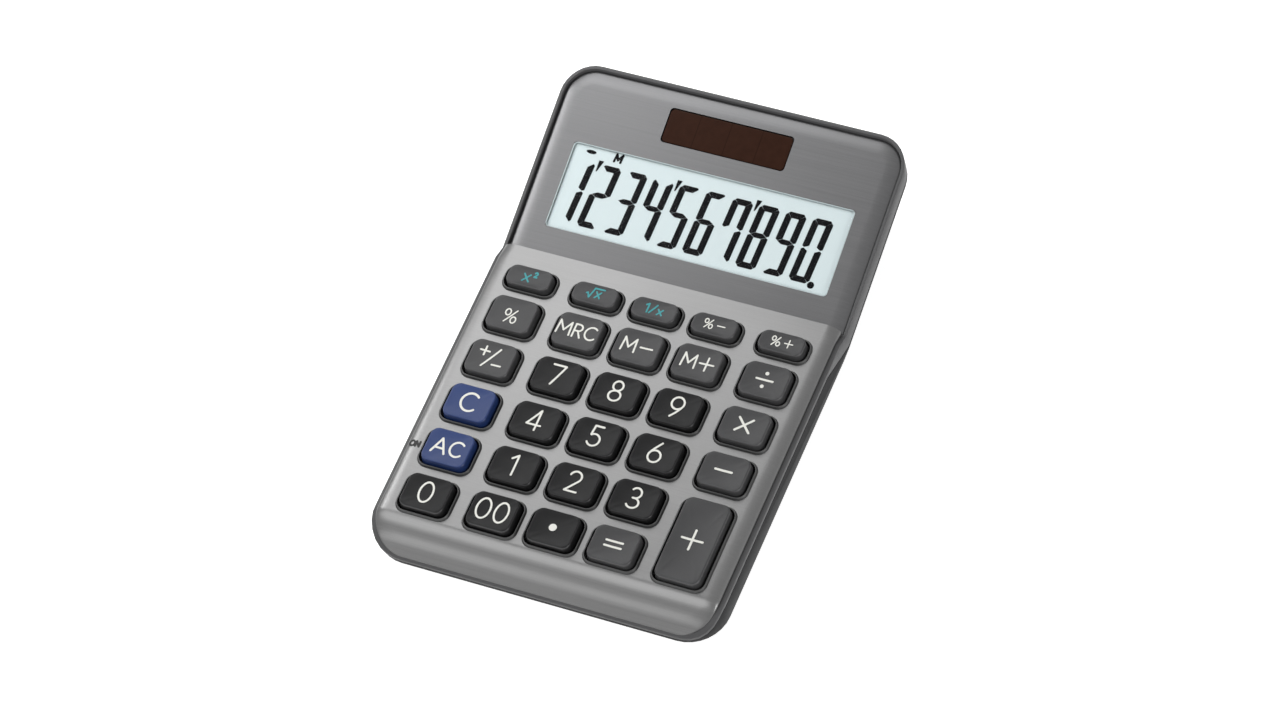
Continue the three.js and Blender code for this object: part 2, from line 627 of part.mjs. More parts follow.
function upperCase() {
  const shell = loft([
    ring(caseSection(0), partingAt),
    ring(caseSection(0), rimAt),
  ]);
  const cavity = outline({
    halfWidth: HALF_WIDTH - WALL,
    front: JUNCTION - SKIRT_SLOPE + WALL,
    rear: CASE_REAR - WALL,
    rearRadius: REAR_RADIUS - WALL,
    stations: [JUNCTION - REAR_SLOPE, JUNCTION],
    steps: CORNER_STEPS,
  });
  const pocket = panelSection(-GROOVE, JUNCTION);
  const margin = KEY_CLEARANCE - GAP;
  const keyholes = keys.map(({ length, x, y }) => (
    block(SOCKET_WIDTH - 2 * margin, length - 2 * margin, -BEYOND, BEYOND).translate(x, y, 0)));
  const cellOpening = block(POCKET_WIDTH, POCKET_LENGTH, -BEYOND, BEYOND).translate(...atWindow);
  const wireHoles = [-LEAD_X, LEAD_X].map((x) => (
    disc(WIRE_RADIUS + WIRE_CLEARANCE, -BEYOND, 0, 8).translate(x, SOLAR_MIDDLE, 0)));
  const body = cut(shell, [
    loft([ring(cavity, -BEYOND), ring(cavity, deckBottomAt)]),
    loft([ring(pocket, (y) => displayAt(y) - PANEL - GAP), ring(pocket, BEYOND)]),
    ...keyholes,
    ...[cellOpening, ...wireHoles].map((opening) => opening.applyMatrix4(DISPLAY_TO_FACE)),
  ]);
  const bosses = CASE_SCREWS.map(([, x, y]) => (
    post(SCREW_SHANK + GAP + BOSS_WALL, x, y, bossEndAt(y), (at) => deckBottomAt(at) + FRONT_DECK / 2)));
  const pilots = CASE_SCREWS.map(([, x, y]) => (
    post(SCREW_SHANK + GAP, x, y, baseAt(y), (at) => Math.min(pilotTopAt(y), deckBottomAt(at)))));
  return cut(join([body, ...bosses]), pilots);
}

addPart(face, 'upper_case', upperCase(), 'rim_plastic');

// ---- lower case ---------------------------------------------------------------------

const toFace = (geometry) => geometry.applyMatrix4(GROUND_TO_FACE);

function baseSection(inset) {
  return outline({
    halfWidth: HALF_WIDTH - BASE_SIDE_INSET - inset,
    front: CASE_FRONT + BASE_FRONT_INSET + inset,
    rear: BASE_REAR - inset,
    frontRadius: BASE_RADIUS,
    rearRadius: BASE_RADIUS,
    stations: CASE_STATIONS,
    steps: CORNER_STEPS,
  });
}

// Ground height of a point on the base, from its place along the face.
const groundY = (y) => new THREE.Vector3(0, y, baseAt(y)).applyMatrix4(face.matrix).y;

function lowerCase() {
  const floorAt = (y) => baseAt(y) + FLOOR;
  const outside = loft([
    ring(baseSection(0), baseAt),
    ring(caseSection(0), bandAt),
    ring(caseSection(0), (y) => partingAt(y) - GAP),
  ]);
  const inside = loft([
    ring(baseSection(WALL), floorAt),
    ring(caseSection(WALL), (y) => Math.max(bandAt(y), floorAt(y) + GAP)),
    ring(caseSection(WALL), BEYOND),
  ]);
  const doorY = groundY(DOOR_MIDDLE);
  const pad = plate(DOOR_WIDTH + 2 * DOOR_PAD, DOOR_LENGTH + 2 * DOOR_PAD, DOOR_RADIUS,
    FOOT_PROUD + FLOOR / 2, FOOT_PROUD + FLOOR + DOOR_PAD).translate(BATTERY_X, doorY, 0);
  const shell = join([cut(outside, [inside]), toFace(pad)]);
  const screwHoles = CASE_SCREWS.flatMap(([, x, y]) => [
    disc(SCREW_HEAD + GAP, -BEYOND, headTopAt(y), 12).translate(x, y, 0),
    disc(SCREW_SHANK + GAP, -BEYOND, 0, 8).translate(x, y, 0),
  ]);
  const feet = FEET.map(([, x, y]) => (
    disc(FOOT_RADIUS + GAP, 0, FOOT_PROUD + FOOT_RECESS).translate(x, groundY(y), 0)));
  const rebate = plate(DOOR_WIDTH, DOOR_LENGTH, DOOR_RADIUS, 0, FOOT_PROUD + DOOR + GAP)
    .translate(BATTERY_X, doorY, 0);
  const hatchLength = DOOR_LENGTH - 2 * DOOR_LEDGE - 2 * DOOR_SCREW_INSET;
  const hatch = plate(DOOR_WIDTH - 2 * DOOR_LEDGE, hatchLength, DOOR_RADIUS, 0, BEYOND)
    .translate(BATTERY_X, doorY - DOOR_SCREW_INSET, 0);
  const pilot = disc(DOOR_SCREW_SHANK + GAP, 0, BEYOND, 8).translate(BATTERY_X, groundY(DOOR_SCREW_Y), 0);
  return cut(shell, [...screwHoles, ...[...feet, rebate, hatch, pilot].map(toFace)]);
}

addPart(face, 'lower_case', lowerCase(), 'case_plastic');

// ---- screws and feet ----------------------------------------------------------------

// A screw with a crossed slot, its head at the bottom.
function screw(headRadius, headHeight, shankRadius, length) {
  const head = disc(headRadius, 0, headHeight, 12);
  const shank = disc(shankRadius, headHeight / 2, headHeight + length, 8);
  const bar = block(headRadius * 1.3, headRadius / 3, -headHeight, headHeight / 2);
  return cut(join([head, shank]), [bar, bar.clone().rotateZ(90 * DEGREE)]);
}

for (const [name, x, y] of CASE_SCREWS) {
  const room = deckBottomAt(y - SCREW_SHANK) - GAP - headTopAt(y);
  const length = Math.min(SCREW_LENGTH, room);
  const geometry = screw(SCREW_HEAD, SCREW_HEAD_HEIGHT, SCREW_SHANK, length);
  addPart(face, name, geometry, 'steel', [x, y, baseAt(y)]);
}

for (const [name, x, y] of FEET) {
  const top = FOOT_PROUD + FOOT_RECESS - GAP;
  addPart(calculator, name, disc(FOOT_RADIUS, 0, top), 'rubber', [x, groundY(y), 0]);
}

// ---- battery ------------------------------------------------------------------------

const DOOR_TOP = FOOT_PROUD + DOOR;

function batteryDoor() {
  const lid = plate(DOOR_WIDTH - 2 * GAP, DOOR_LENGTH - 2 * GAP, DOOR_RADIUS - GAP, FOOT_PROUD, DOOR_TOP);
  const screwY = groundY(DOOR_SCREW_Y) - groundY(DOOR_MIDDLE);
  return cut(lid, [
    disc(DOOR_SCREW_HEAD + GAP, 0, FOOT_PROUD + DOOR_SCREW_HEAD_HEIGHT).translate(0, screwY, 0),
    disc(DOOR_SCREW_SHANK + GAP, 0, BEYOND, 8).translate(0, screwY, 0),
  ]);
}

const doorScrew = screw(DOOR_SCREW_HEAD, DOOR_SCREW_HEAD_HEIGHT - GAP, DOOR_SCREW_SHANK, DOOR_SCREW_LENGTH);
addPart(calculator, 'battery_door', batteryDoor(), 'case_plastic', [BATTERY_X, groundY(DOOR_MIDDLE), 0]);
addPart(calculator, 'battery_door_screw', doorScrew, 'steel',
  [BATTERY_X, groundY(DOOR_SCREW_Y), FOOT_PROUD]);

// The cell stands on the door; one contact presses on its top and one on its side.
const BATTERY_BOTTOM = DOOR_TOP + GAP;
const BATTERY_GROUND_Y = groundY(BATTERY_Y);
const CONTACT_SEAT = BOARD_TOP + GAP;
addPart(calculator, 'battery_cell', disc(BATTERY_RADIUS, 0, BATTERY_THICKNESS, 24), 'steel',
  [BATTERY_X, BATTERY_GROUND_Y, BATTERY_BOTTOM]);

function faceFromGround(y, z) {
  const point = new THREE.Vector3(0, y, z).applyMatrix4(GROUND_TO_FACE);
  return [point.y, point.z];
}

// Strip from the board, down and over the top of the cell.
function topContact() {
  const top = BATTERY_BOTTOM + BATTERY_THICKNESS + GAP;
  const path = [
    [MAT_REAR + GAP, CONTACT_SEAT],
    [BOARD_REAR + CONTACT, CONTACT_SEAT],
    faceFromGround(BATTERY_GROUND_Y - BATTERY_RADIUS, top),
    faceFromGround(BATTERY_GROUND_Y + BATTERY_RADIUS / 2, top),
  ];
  const upper = path.map(([y, z]) => [y, z + CONTACT]).reverse();
  return strip([...path, ...upper], CONTACT_WIDTH);
}

// Blade from the board to a pad that stands at the side of the cell.
function sideContact() {
  const low = BATTERY_BOTTOM + BATTERY_THICKNESS / 3;
  const high = BATTERY_BOTTOM + BATTERY_THICKNESS;
  const rear = BATTERY_GROUND_Y + CONTACT_WIDTH / 2;
  const front = BATTERY_GROUND_Y - CONTACT_WIDTH / 2;
  return strip([
    [MAT_REAR + GAP, CONTACT_SEAT],
    [BOARD_REAR + GAP, CONTACT_SEAT],
    faceFromGround(front, (low + high) / 2),
    faceFromGround(front, low),
    faceFromGround(rear, low),
    faceFromGround(rear, high),
    faceFromGround(front, high),
    [BOARD_REAR + 3 * GAP, CONTACT_SEAT + 2 * CONTACT],
    [MAT_REAR + GAP, CONTACT_SEAT + 2 * CONTACT],
  ], CONTACT);
}

addPart(face, 'battery_contact_negative', topContact(), 'steel', [BATTERY_X, 0, 0]);
addPart(face, 'battery_contact_positive', sideContact(), 'steel',
  [BATTERY_X - BATTERY_RADIUS - GAP - CONTACT / 2, 0, 0]);

// ---- solar leads --------------------------------------------------------------------

// Insulated lead from the underside of the solar cell, behind the tray, to the board.
function solarLead(x) {
  const trayHalf = POCKET_LENGTH / 2 + TRAY_WALL;
  const route = [
    faceFromDisplay(SOLAR_MIDDLE, -PANEL - GAP),
    faceFromDisplay(SOLAR_MIDDLE, -PANEL - DECK - WIRE_BEND),
    faceFromDisplay(WINDOW_MIDDLE + trayHalf + WIRE_BEND, -WIRE_DROP),
    faceFromDisplay(WINDOW_MIDDLE, -WIRE_DROP),
    faceFromDisplay(WINDOW_MIDDLE - trayHalf, -WIRE_DROP),
    [BOARD_REAR - LAP, BOARD_TOP + GAP + 2 * WIRE_RADIUS],
  ];
  const curve = new THREE.CatmullRomCurve3(route.map(([y, z]) => new THREE.Vector3(x, y, z)));
  const section = new THREE.Shape();
  section.absarc(0, 0, WIRE_RADIUS, 0, 360 * DEGREE, false);
  const settings = { extrudePath: curve, steps: 20, curveSegments: 3, bevelEnabled: false };
  return new THREE.ExtrudeGeometry(section, settings);
}

addPart(face, 'solar_wire_positive', solarLead(LEAD_X), 'red');
addPart(face, 'solar_wire_negative', solarLead(-LEAD_X), 'black');

// ---- origin under the middle of the box ---------------------------------------------

calculator.updateMatrixWorld(true);
const box = new THREE.Box3().setFromObject(calculator, true);
const middle = box.getCenter(new THREE.Vector3());
for (const child of calculator.children) {
  child.position.x -= middle.x;
  child.position.y -= middle.y;
}

export default calculator;
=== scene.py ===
"""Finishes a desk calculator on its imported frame.

Lengths are in metres. The case is drawn in the frame of its keyboard face: z = 0 on the face
and y = 0 at the front of the last row of keys. The display has its own frame, z = 0 on the
panel and y = 0 where it meets the keyboard plate.
"""
import json
import math
from functools import cache

import bmesh
import bpy
from bpy.props import FloatProperty, FloatVectorProperty, PointerProperty
from mathutils import Matrix, Vector
from mathutils.geometry import delaunay_2d_cdt

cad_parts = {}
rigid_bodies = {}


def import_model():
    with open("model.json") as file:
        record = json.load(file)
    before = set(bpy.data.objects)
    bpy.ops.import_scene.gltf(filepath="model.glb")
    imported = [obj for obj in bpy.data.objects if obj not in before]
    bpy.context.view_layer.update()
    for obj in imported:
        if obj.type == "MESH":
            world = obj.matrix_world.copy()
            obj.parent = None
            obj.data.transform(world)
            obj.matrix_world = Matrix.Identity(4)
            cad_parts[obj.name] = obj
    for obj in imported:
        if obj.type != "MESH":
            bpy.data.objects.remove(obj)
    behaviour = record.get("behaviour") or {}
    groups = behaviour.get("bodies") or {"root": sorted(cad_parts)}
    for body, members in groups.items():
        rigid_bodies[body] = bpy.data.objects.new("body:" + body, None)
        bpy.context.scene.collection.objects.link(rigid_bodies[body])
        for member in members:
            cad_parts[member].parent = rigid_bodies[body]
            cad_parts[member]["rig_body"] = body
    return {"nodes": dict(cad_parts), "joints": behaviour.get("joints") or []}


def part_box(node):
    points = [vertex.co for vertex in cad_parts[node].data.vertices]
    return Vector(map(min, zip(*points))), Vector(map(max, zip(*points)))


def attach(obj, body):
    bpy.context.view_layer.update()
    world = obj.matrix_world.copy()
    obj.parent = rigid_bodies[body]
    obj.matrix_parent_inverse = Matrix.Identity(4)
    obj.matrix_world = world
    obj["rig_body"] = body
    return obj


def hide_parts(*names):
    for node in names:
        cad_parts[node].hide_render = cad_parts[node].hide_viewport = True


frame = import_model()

bl_info = {
    "name": "Desk Calculator",
    "version": (1, 0, 0),
    "blender": (4, 5, 0),
    "location": "3D View > Sidebar > Calculator",
    "description": "Builds the visible pieces and the studio of a desk calculator",
    "category": "Object",
}

MM = 0.001
WELD = 1e-6  # Metres within which two points of a mesh are one.
NEAR = 1e-5  # Millimetres within which two drawn points are one.
SHARP = math.radians(40)  # Sheet metal has a sharp edge where it bends by more than this.
BEVELLED = math.radians(28)  # Moulded edges that bend by more than this are rounded.
CASE = "case"
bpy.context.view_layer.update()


# ---- properties ---------------------------------------------------------------------


def length(name, text, millimetres):
    return FloatProperty(name=name, description=text, default=millimetres * MM,
                         unit="LENGTH", subtype="DISTANCE", precision=5)


def turn(name, text, degrees):
    return FloatProperty(name=name, description=text, default=math.radians(degrees),
                         unit="ROTATION", subtype="ANGLE")


def number(name, text, value):
    return FloatProperty(name=name, description=text, default=value)


def srgb(red, green, blue):
    """Linear colour from 8-bit display values."""
    def linear(value):
        value /= 255
        return value / 12.92 if value <= 0.04045 else ((value + 0.055) / 1.055) ** 2.4
    return tuple(linear(value) for value in (red, green, blue))


def colour(name, text, red, green, blue):
    return FloatVectorProperty(name=name, description=text, default=srgb(red, green, blue),
                               min=0, max=1, size=3, subtype="COLOR")


class CaseSizes(bpy.types.PropertyGroup):
    width: length("Width", "Across the case", 103)
    front_radius: length("Front Radius", "Front corners in plan", 11)
    rear_radius: length("Rear Radius", "Rear corners in plan", 9.5)
    front: length("Front", "Front of the case from the last row of keys", -10.2)
    junction: length("Junction", "Where the display panel starts", 87.21)
    origin_y: length("Origin Y", "Last row of keys in the row frame", -66.519)
    face_height: length("Face Height", "Keyboard face above the ground at the last row", 12.6)
    display_tilt: turn("Display Tilt", "Display panel to the keyboard face", 13.3)
    display_drop: length("Display Drop", "Panel below the face where they meet", 3.76)
    panel_length: length("Panel Length", "Along the panel to the rear of the case", 57.55)
    clearance: length("Clearance", "Between a piece and its neighbour", 0.3)
    rim_rounding: length("Rim Rounding", "Edges of the upper case", 0.3)
    base_rounding: length("Base Rounding", "Edges of the lower case", 0.35)
    door_rounding: length("Door Rounding", "Edges of the battery door", 0.2)
    corner_swell: length("Corner Swell", "Front corners of the upper case stand out", 0.7)


class PlateSizes(bpy.types.PropertyGroup):
    inset: length("Inset", "Sides from the outside of the case", 1.2)
    front_inset: length("Front Inset", "Front from the outside of the case", 0.45)
    front_radius: length("Front Radius", "Front corners in plan", 9.7)
    edge: length("Edge", "Thickness at the edge", 0.4)
    rear_edge: length("Rear Edge", "Underside above the display panel where they meet", 0.5)
    edge_curve: length("Edge Curve", "Width of the curved sides", 3.85)
    edge_drop: length("Edge Drop", "Depth of the curved sides", 1.3)
    rear_drop: length("Rear Drop", "Depth of the curve at the rear corners", 2.6)
    rear_slope: length("Rear Slope", "Length of the step down to the display", 4.2)
    level_end: length("Level End", "Rear length of the face that is kept level", 9.8)
    chin_start: length("Chin Start", "Where the face turns down", -0.1)
    chin_ease: length("Chin Ease", "Softness of that turn", 3.0)
    chin_slope: number("Chin Slope", "Fall of the chin for its run", 0.92)
    chin_swell: length("Chin Swell", "Half the depth of the hollow below the turn", 0.11)
    chin_rest: number("Chin Rest", "Share of the chin above the hollow", 0.25)
    chin_wave: number("Chin Wave", "Share of the chin that is hollow", 0.5)
    collar_width: length("Collar Width", "Raised lip on the edge of a socket", 0.7)
    collar_top: length("Collar Top", "Flat of the lip", 0.3)
    collar_height: length("Collar Height", "Lip above the face", 0.75)
    collar_sunk: length("Collar Sunk", "Foot of the lip below the face", 0.12)
    collar_softness: length("Collar Softness", "Rounding of the lip's edges", 0.14)


class PanelSizes(bpy.types.PropertyGroup):
    margin: length("Margin", "From the outside of the case", 0.9)
    thickness: length("Thickness", "Of the panel", 1.2)
    bevel: length("Bevel", "Width of the convex border", 5.0)
    bevel_drop: length("Bevel Drop", "Depth of that border", 1.05)
    bevel_round: number("Bevel Round", "Share of the depth that is broadly rounded", 0.75)
    bevel_lip: number("Bevel Lip", "Share of the depth close to the edge", 0.28)


class KeySizes(bpy.types.PropertyGroup):
    socket_width: length("Socket Width", "Opening in the plate", 15.7)
    socket_length: length("Socket Length", "Opening in the plate", 11.85)
    short_length: length("Short Socket Length", "Opening of the first row", 7.75)
    row_pitch: length("Row Pitch", "From row to row", 14.68)
    short_pitch: length("First Row Pitch", "From the second row to the first", 14.34)
    inner_column: length("Inner Column", "Second and fourth column from the middle", 17.8)
    outer_column: length("Outer Column", "First and last column from the middle", 37.6)
    socket_radius: length("Socket Radius", "Corners of the opening", 3)
    clearance: length("Clearance", "Round a key in its socket", 0.45)
    base: length("Base", "Underside of a key", -4.3)
    shoulder: length("Shoulder", "Where the sides turn in", 1.9)
    rise: length("Rise", "Top of a key above the face", 2.6)
    taper: length("Taper", "Inset of the shoulder", 0.2)
    crown: length("Crown", "Inset of the top", 0.6)
    side_taper: length("Side Taper", "More inset at the left and right sides", 0.65)
    dish: length("Dish", "Hollow of the top", 0.4)
    forward: length("Forward", "Keys towards the rear of their sockets", 0.12)


class LegendSizes(bpy.types.PropertyGroup):
    stroke: length("Stroke", "Width of a printed line", 0.56)
    digit_height: length("Digit Height", "Printed digits", 6.7)
    lift: length("Lift", "Legends above the middle of a key", 0.25)
    aside: length("Aside", "Legends to the right of the middle of a key", -0.15)
    ink: length("Ink", "Thickness of the print", 0.05)


class DisplaySizes(bpy.types.PropertyGroup):
    window_start: length("Window Start", "From the junction", 9.25)
    window_width: length("Window Width", "Opening in the panel", 84.5)
    window_length: length("Window Length", "Opening in the panel", 25.65)
    window_radius: length("Window Radius", "Corners of the opening", 1)
    solar_start: length("Solar Start", "From the junction", 40.6)
    solar_width: length("Solar Width", "Opening in the panel", 37.2)
    solar_length: length("Solar Length", "Opening in the panel", 10.4)
    solar_radius: length("Solar Radius", "Corners of the opening", 1.1)
    glass_depth: length("Glass Depth", "Window below the panel", 0.1)
    glass_edge: length("Glass Edge", "Ground edge of the window", 0.1)
    window_thickness: length("Window Thickness", "Of the window", 0.4)
    solar_thickness: length("Solar Thickness", "Of the solar cell", 1.1)
    border_width: length("Border Width", "Light edge round the window", 0.27)
    border_drop: length("Border Drop", "That edge below the panel", 0.04)
    border_depth: length("Border Depth", "Foot of that edge below the panel", 0.45)
    print_depth: length("Print Depth", "Digits below the panel", 0.76)
    print_thickness: length("Print Thickness", "Of the digits", 0.02)
    digit_pitch: length("Digit Pitch", "From digit to digit", 7.955)
    last_digit: length("Last Digit", "Middle of the last digit", 33.62)
    digit_foot: length("Digit Foot", "Foot of the digits from the junction", 11.69)
    digit_middle: length("Digit Middle", "Middle bars from the junction", 21.54)
    digit_top: length("Digit Top", "Top of the digits from the junction", 30.44)
    digit_width: length("Digit Width", "Of a display digit", 6.02)
    upright: length("Upright Bar", "Width of the upright bars", 1.92)
    level_bar: length("Level Bar", "Width of the top and bottom bars", 1.72)
    middle_bar: length("Middle Bar", "Width of the middle bars", 1.5)
    middle_gap: length("Middle Gap", "Middle bars shorter than a digit is wide", 1.3)
    middle_point: number("Middle Point", "Length of their ends for their width", 0.92)
    slant: number("Slant", "Lean of the digits", 0.075)


class Colours(bpy.types.PropertyGroup):
    face: colour("Face", "Keyboard plate", 106, 106, 106)
    lip: colour("Lip", "Raised lips of the sockets", 74, 74, 74)
    panel: colour("Panel", "Display panel", 92, 92, 93)
    rim: colour("Rim", "Rim of the upper case", 80, 80, 81)
    base: colour("Base", "Lower case", 35, 35, 36)
    black_key: colour("Black Keys", "Digit keys", 20, 20, 21)
    grey_key: colour("Grey Keys", "Function keys", 64, 64, 65)
    blue_key: colour("Blue Keys", "Clearing keys", 33, 54, 104)
    ink: colour("Ink", "Printed legends", 228, 228, 221)
    teal: colour("Teal Ink", "Legends of the first row", 62, 150, 155)
    crystal: colour("Crystal", "Display ground", 223, 237, 239)
    digits: colour("Digits", "Display digits", 10, 11, 14)
    solar: colour("Solar", "Solar cell", 52, 32, 24)


class StageSettings(bpy.types.PropertyGroup):
    azimuth: turn("Azimuth", "Camera round the object", 36.085)
    elevation: turn("Elevation", "Camera above the horizon", 54.043)
    roll: turn("Roll", "Camera about its own axis", -15.763)
    distance: length("Distance", "Camera to its aim", 1440.64)
    aim: FloatVectorProperty(name="Aim", description="Point the camera looks at", subtype="XYZ",
                             unit="LENGTH", default=(-0.000297, -0.0019, 0.012))
    lens: number("Lens", "Focal length in millimetres", 149.59)
    ambient: number("Ambient", "Level of the surround", 0.26)
    floor_glow: number("Floor Glow", "Light of the floor where it is seen", 0.82)
    right_light: number("Right Light", "Low broad lamp at the right", 1.3)
    front_light: number("Front Light", "Broad lamp in front at the left", 1.45)
    rear_light: number("Rear Light", "Close lamp behind the left side", 0.31)
    key_light: number("Key Light", "Close lamp over the left side", 0.17)
    left_light: number("Left Light", "Close lamp at the left", 0.34)


GROUPS = {
    "calculator_case": CaseSizes,
    "calculator_plate": PlateSizes,
    "calculator_panel": PanelSizes,
    "calculator_keys": KeySizes,
    "calculator_legends": LegendSizes,
    "calculator_display": DisplaySizes,
    "calculator_colours": Colours,
    "calculator_stage": StageSettings,
}


def sizes(name):
    return getattr(bpy.context.scene, "calculator_" + name)


# ---- frames and heights -------------------------------------------------------------


def face_place():
    """Matrix from the keyboard face to the row frame."""
    case = sizes("case")
    tilt = math.asin(frame["joints"][0]["axis"][1])
    return Matrix.Translation((0, case.origin_y, case.face_height)) @ Matrix.Rotation(tilt, 4, "X")


def display_place():
    """Matrix from the display panel to the row frame."""
    case = sizes("case")
    onto_face = Matrix.Translation((0, case.junction, -case.display_drop))
    return face_place() @ onto_face @ Matrix.Rotation(case.display_tilt, 4, "X")


def clamped(share):
    return min(max(share, 0), 1)


def mix(low, high, share):
    return low + (high - low) * clamped(share)


def chin_share(y):
    """0 where the chin starts, 1 at the front of the case."""
    start = sizes("plate").chin_start
    return (start - y) / (start - sizes("case").front)


def rear_share(y):
    """0 where the step down to the display starts, 1 where it ends."""
    slope = sizes("plate").rear_slope
    return (y - sizes("case").junction + slope) / slope


def face_height(y):
    """Height along the middle of the keyboard plate: flat, then down the hollow chin."""
    plate = sizes("plate")
    past = max(plate.chin_start - y, 0)
    along = clamped((chin_share(y) - plate.chin_rest) / plate.chin_wave)
    swell = plate.chin_swell * (1 - math.cos(2 * math.pi * along))
    return -plate.chin_slope * (math.hypot(past, plate.chin_ease) - plate.chin_ease) - swell


def plate_drop(y):
    """Depth of the curved sides, which runs out down the chin and grows towards the rear."""
    plate = sizes("plate")
    if y < 0:
        share = clamped(chin_share(y))
        return plate.edge_drop * (1 - share * share * (3 - 2 * share))
    return mix(plate.edge_drop, plate.rear_drop, rear_share(y))


def plate_underside(y):
    case, plate = sizes("case"), sizes("plate")
    deck = face_height(y) - (plate_drop(y) if y < 0 else plate.edge_drop) - plate.edge
    return mix(deck, plate.rear_edge - case.display_drop, rear_share(y))


def edge_shares(rings, power):
    """Shares of the way in from an edge, closer together near it."""
    return [(i / rings) ** power for i in range(rings + 1)]


def round_off(share):
    """Fall of a quarter circle from 1 at its edge to 0 where it meets the flat."""
    return 1 - math.sqrt(max(1 - (1 - share) ** 2, 0))


# ---- meshes -------------------------------------------------------------------------


def outline(half_width, front, rear, front_radius, rear_radius, steps, stations=()):
    """Right half of a rounded rectangle, from its front edge to its rear edge."""
    points = []

    def corner(y, radius, start):
        count = steps if radius > 0 else 0
        for i in range(count + 1):
            angle = start + (i / count * math.pi / 2 if count else 0)
            points.append((half_width - radius + radius * math.cos(angle), y + radius * math.sin(angle)))

    corner(front + front_radius, front_radius, -math.pi / 2)
    points.extend((half_width, y) for y in stations)
    corner(rear - rear_radius, rear_radius, 0)
    return points


def opening(x, y, width, depth, radius):
    """Closed loop round an opening with its middle at x and y, counterclockwise from the right."""
    steps = 8
    points = []
    for quarter, (sx, sy) in enumerate(((1, 1), (-1, 1), (-1, -1), (1, -1))):
        for i in range(steps + 1):
            angle = (quarter + i / steps) * math.pi / 2
            points.append((x + (sx * (width / 2 - radius) + radius * math.cos(angle)),
                           y + (sy * (depth / 2 - radius) + radius * math.sin(angle))))
    return points


def placed(name, data):
    """A new object with this data, linked into the scene."""
    thing = bpy.data.objects.new(name, data)
    bpy.context.scene.collection.objects.link(thing)
    return thing


def piece(name, mesh, body, material=None, replaced=(), slot=None):
    """A shown piece that rides on a CAD body."""
    mesh.name = name
    thing = placed(name, mesh)
    if material:
        mesh.materials.clear()
        mesh.materials.append(FINISHES[material])
    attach(thing, body)
    if replaced:
        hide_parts(*replaced)
    return thing


class Shell:
    """A closed sheet-metal shape, built from rings that run round it. Rings hold point numbers."""

    def __init__(self):
        self.points = []
        self.faces = []

    def add(self, points):
        first = len(self.points)
        self.points.extend(points)
        return list(range(first, len(self.points)))

    def ring(self, right, height):
        """A ring from the right half of an outline and its mirror image."""
        half = [(x, y, height(y)) for x, y in right]
        return self.add(half + [(-x, y, z) for x, y, z in reversed(half)])

    def strip(self, low, high):
        """Faces between two rings."""
        for i in range(len(low)):
            j = (i + 1) % len(low)
            self.faces.append((low[i], low[j], high[j], high[i]))

    def cap(self, ring, holes, flat_from):
        """Rows across the ring up to flat_from, then one flat face with holes."""
        last = len(ring) - 1
        row = 0
        while self.points[ring[row]][1] < flat_from:
            self.faces.append((ring[row], ring[row + 1], ring[last - row - 1], ring[last - row]))
            row += 1
        loops = [ring[row:len(ring) - row], *holes]
        flat = [index for loop in loops for index in loop]
        spots = [[Vector(self.points[index][:2]) / MM for index in loop] for loop in loops]
        _, faces, origins = filled(spots)
        self.faces.extend([flat[origins[corner][0]] for corner in face]
                          for face, inside in faces if inside == [0])

    def mesh(self, name, place):
        """The closed mesh, put in its place, with its faces turned outwards."""
        mesh = bpy.data.meshes.new(name)
        mesh.from_pydata(self.points, [], self.faces)
        shape = bmesh.new()
        shape.from_mesh(mesh)
        bmesh.ops.remove_doubles(shape, verts=shape.verts, dist=WELD)
        bmesh.ops.recalc_face_normals(shape, faces=shape.faces)
        shape.to_mesh(mesh)
        shape.free()
        mesh.transform(place)
        mesh.shade_smooth()
        mesh.set_sharp_from_angle(angle=SHARP)
        return mesh


def filled(loops):
    """Triangles inside closed loops in millimetres.

    Gives the points, each face with the loops that it is in, and what each point was before.
    """
    starts = [sum(len(loop) for loop in loops[:i]) for i in range(len(loops))]
    areas = [list(range(start, start + len(loop))) for start, loop in zip(starts, loops)]
    given = [Vector(point) for loop in loops for point in loop]
    points, _, faces, origins, _, inside = delaunay_2d_cdt(given, [], areas, 0, NEAR)
    return points, zip(faces, inside), origins


def sheet(name, place, section, underside, border, holes, finish, replaced, slot, flat_from=-math.inf):
    """A plate with a formed border and openings.

    The section gives its outline at an inset. The border is a list of insets with the height
    of the upper side there, from the edge to the flat. Up to flat_from the plate is curved.
    """
    shell = Shell()
    bottom = low = shell.ring(section(0), underside)
    for inset, height in border:
        high = shell.ring(section(inset), height)
        shell.strip(low, high)
        low = high
    above, below = [], []
    for loop in holes:
        above.append(shell.add([(x, y, 0) for x, y in loop]))
        below.append(shell.add([(x, y, underside(y)) for x, y in loop]))
        shell.strip(above[-1], below[-1])
    shell.cap(low, above, flat_from)
    shell.cap(bottom, below, flat_from)
    piece(name, shell.mesh(name, place), CASE, finish, [replaced], slot)


def joined(meshes, name):
    """One mesh from several, each keeping its own materials."""
    whole = bmesh.new()
    materials = list(dict.fromkeys(material for mesh in meshes for material in mesh.materials))
    for mesh in meshes:
        mine = [materials.index(material) for material in mesh.materials]
        first = len(whole.faces)
        whole.from_mesh(mesh)
        whole.faces.ensure_lookup_table()
        for face in whole.faces[first:]:
            face.material_index = mine[face.material_index]
    result = bpy.data.meshes.new(name)
    whole.to_mesh(result)
    whole.free()
    for material in materials:
        result.materials.append(material)
    return result


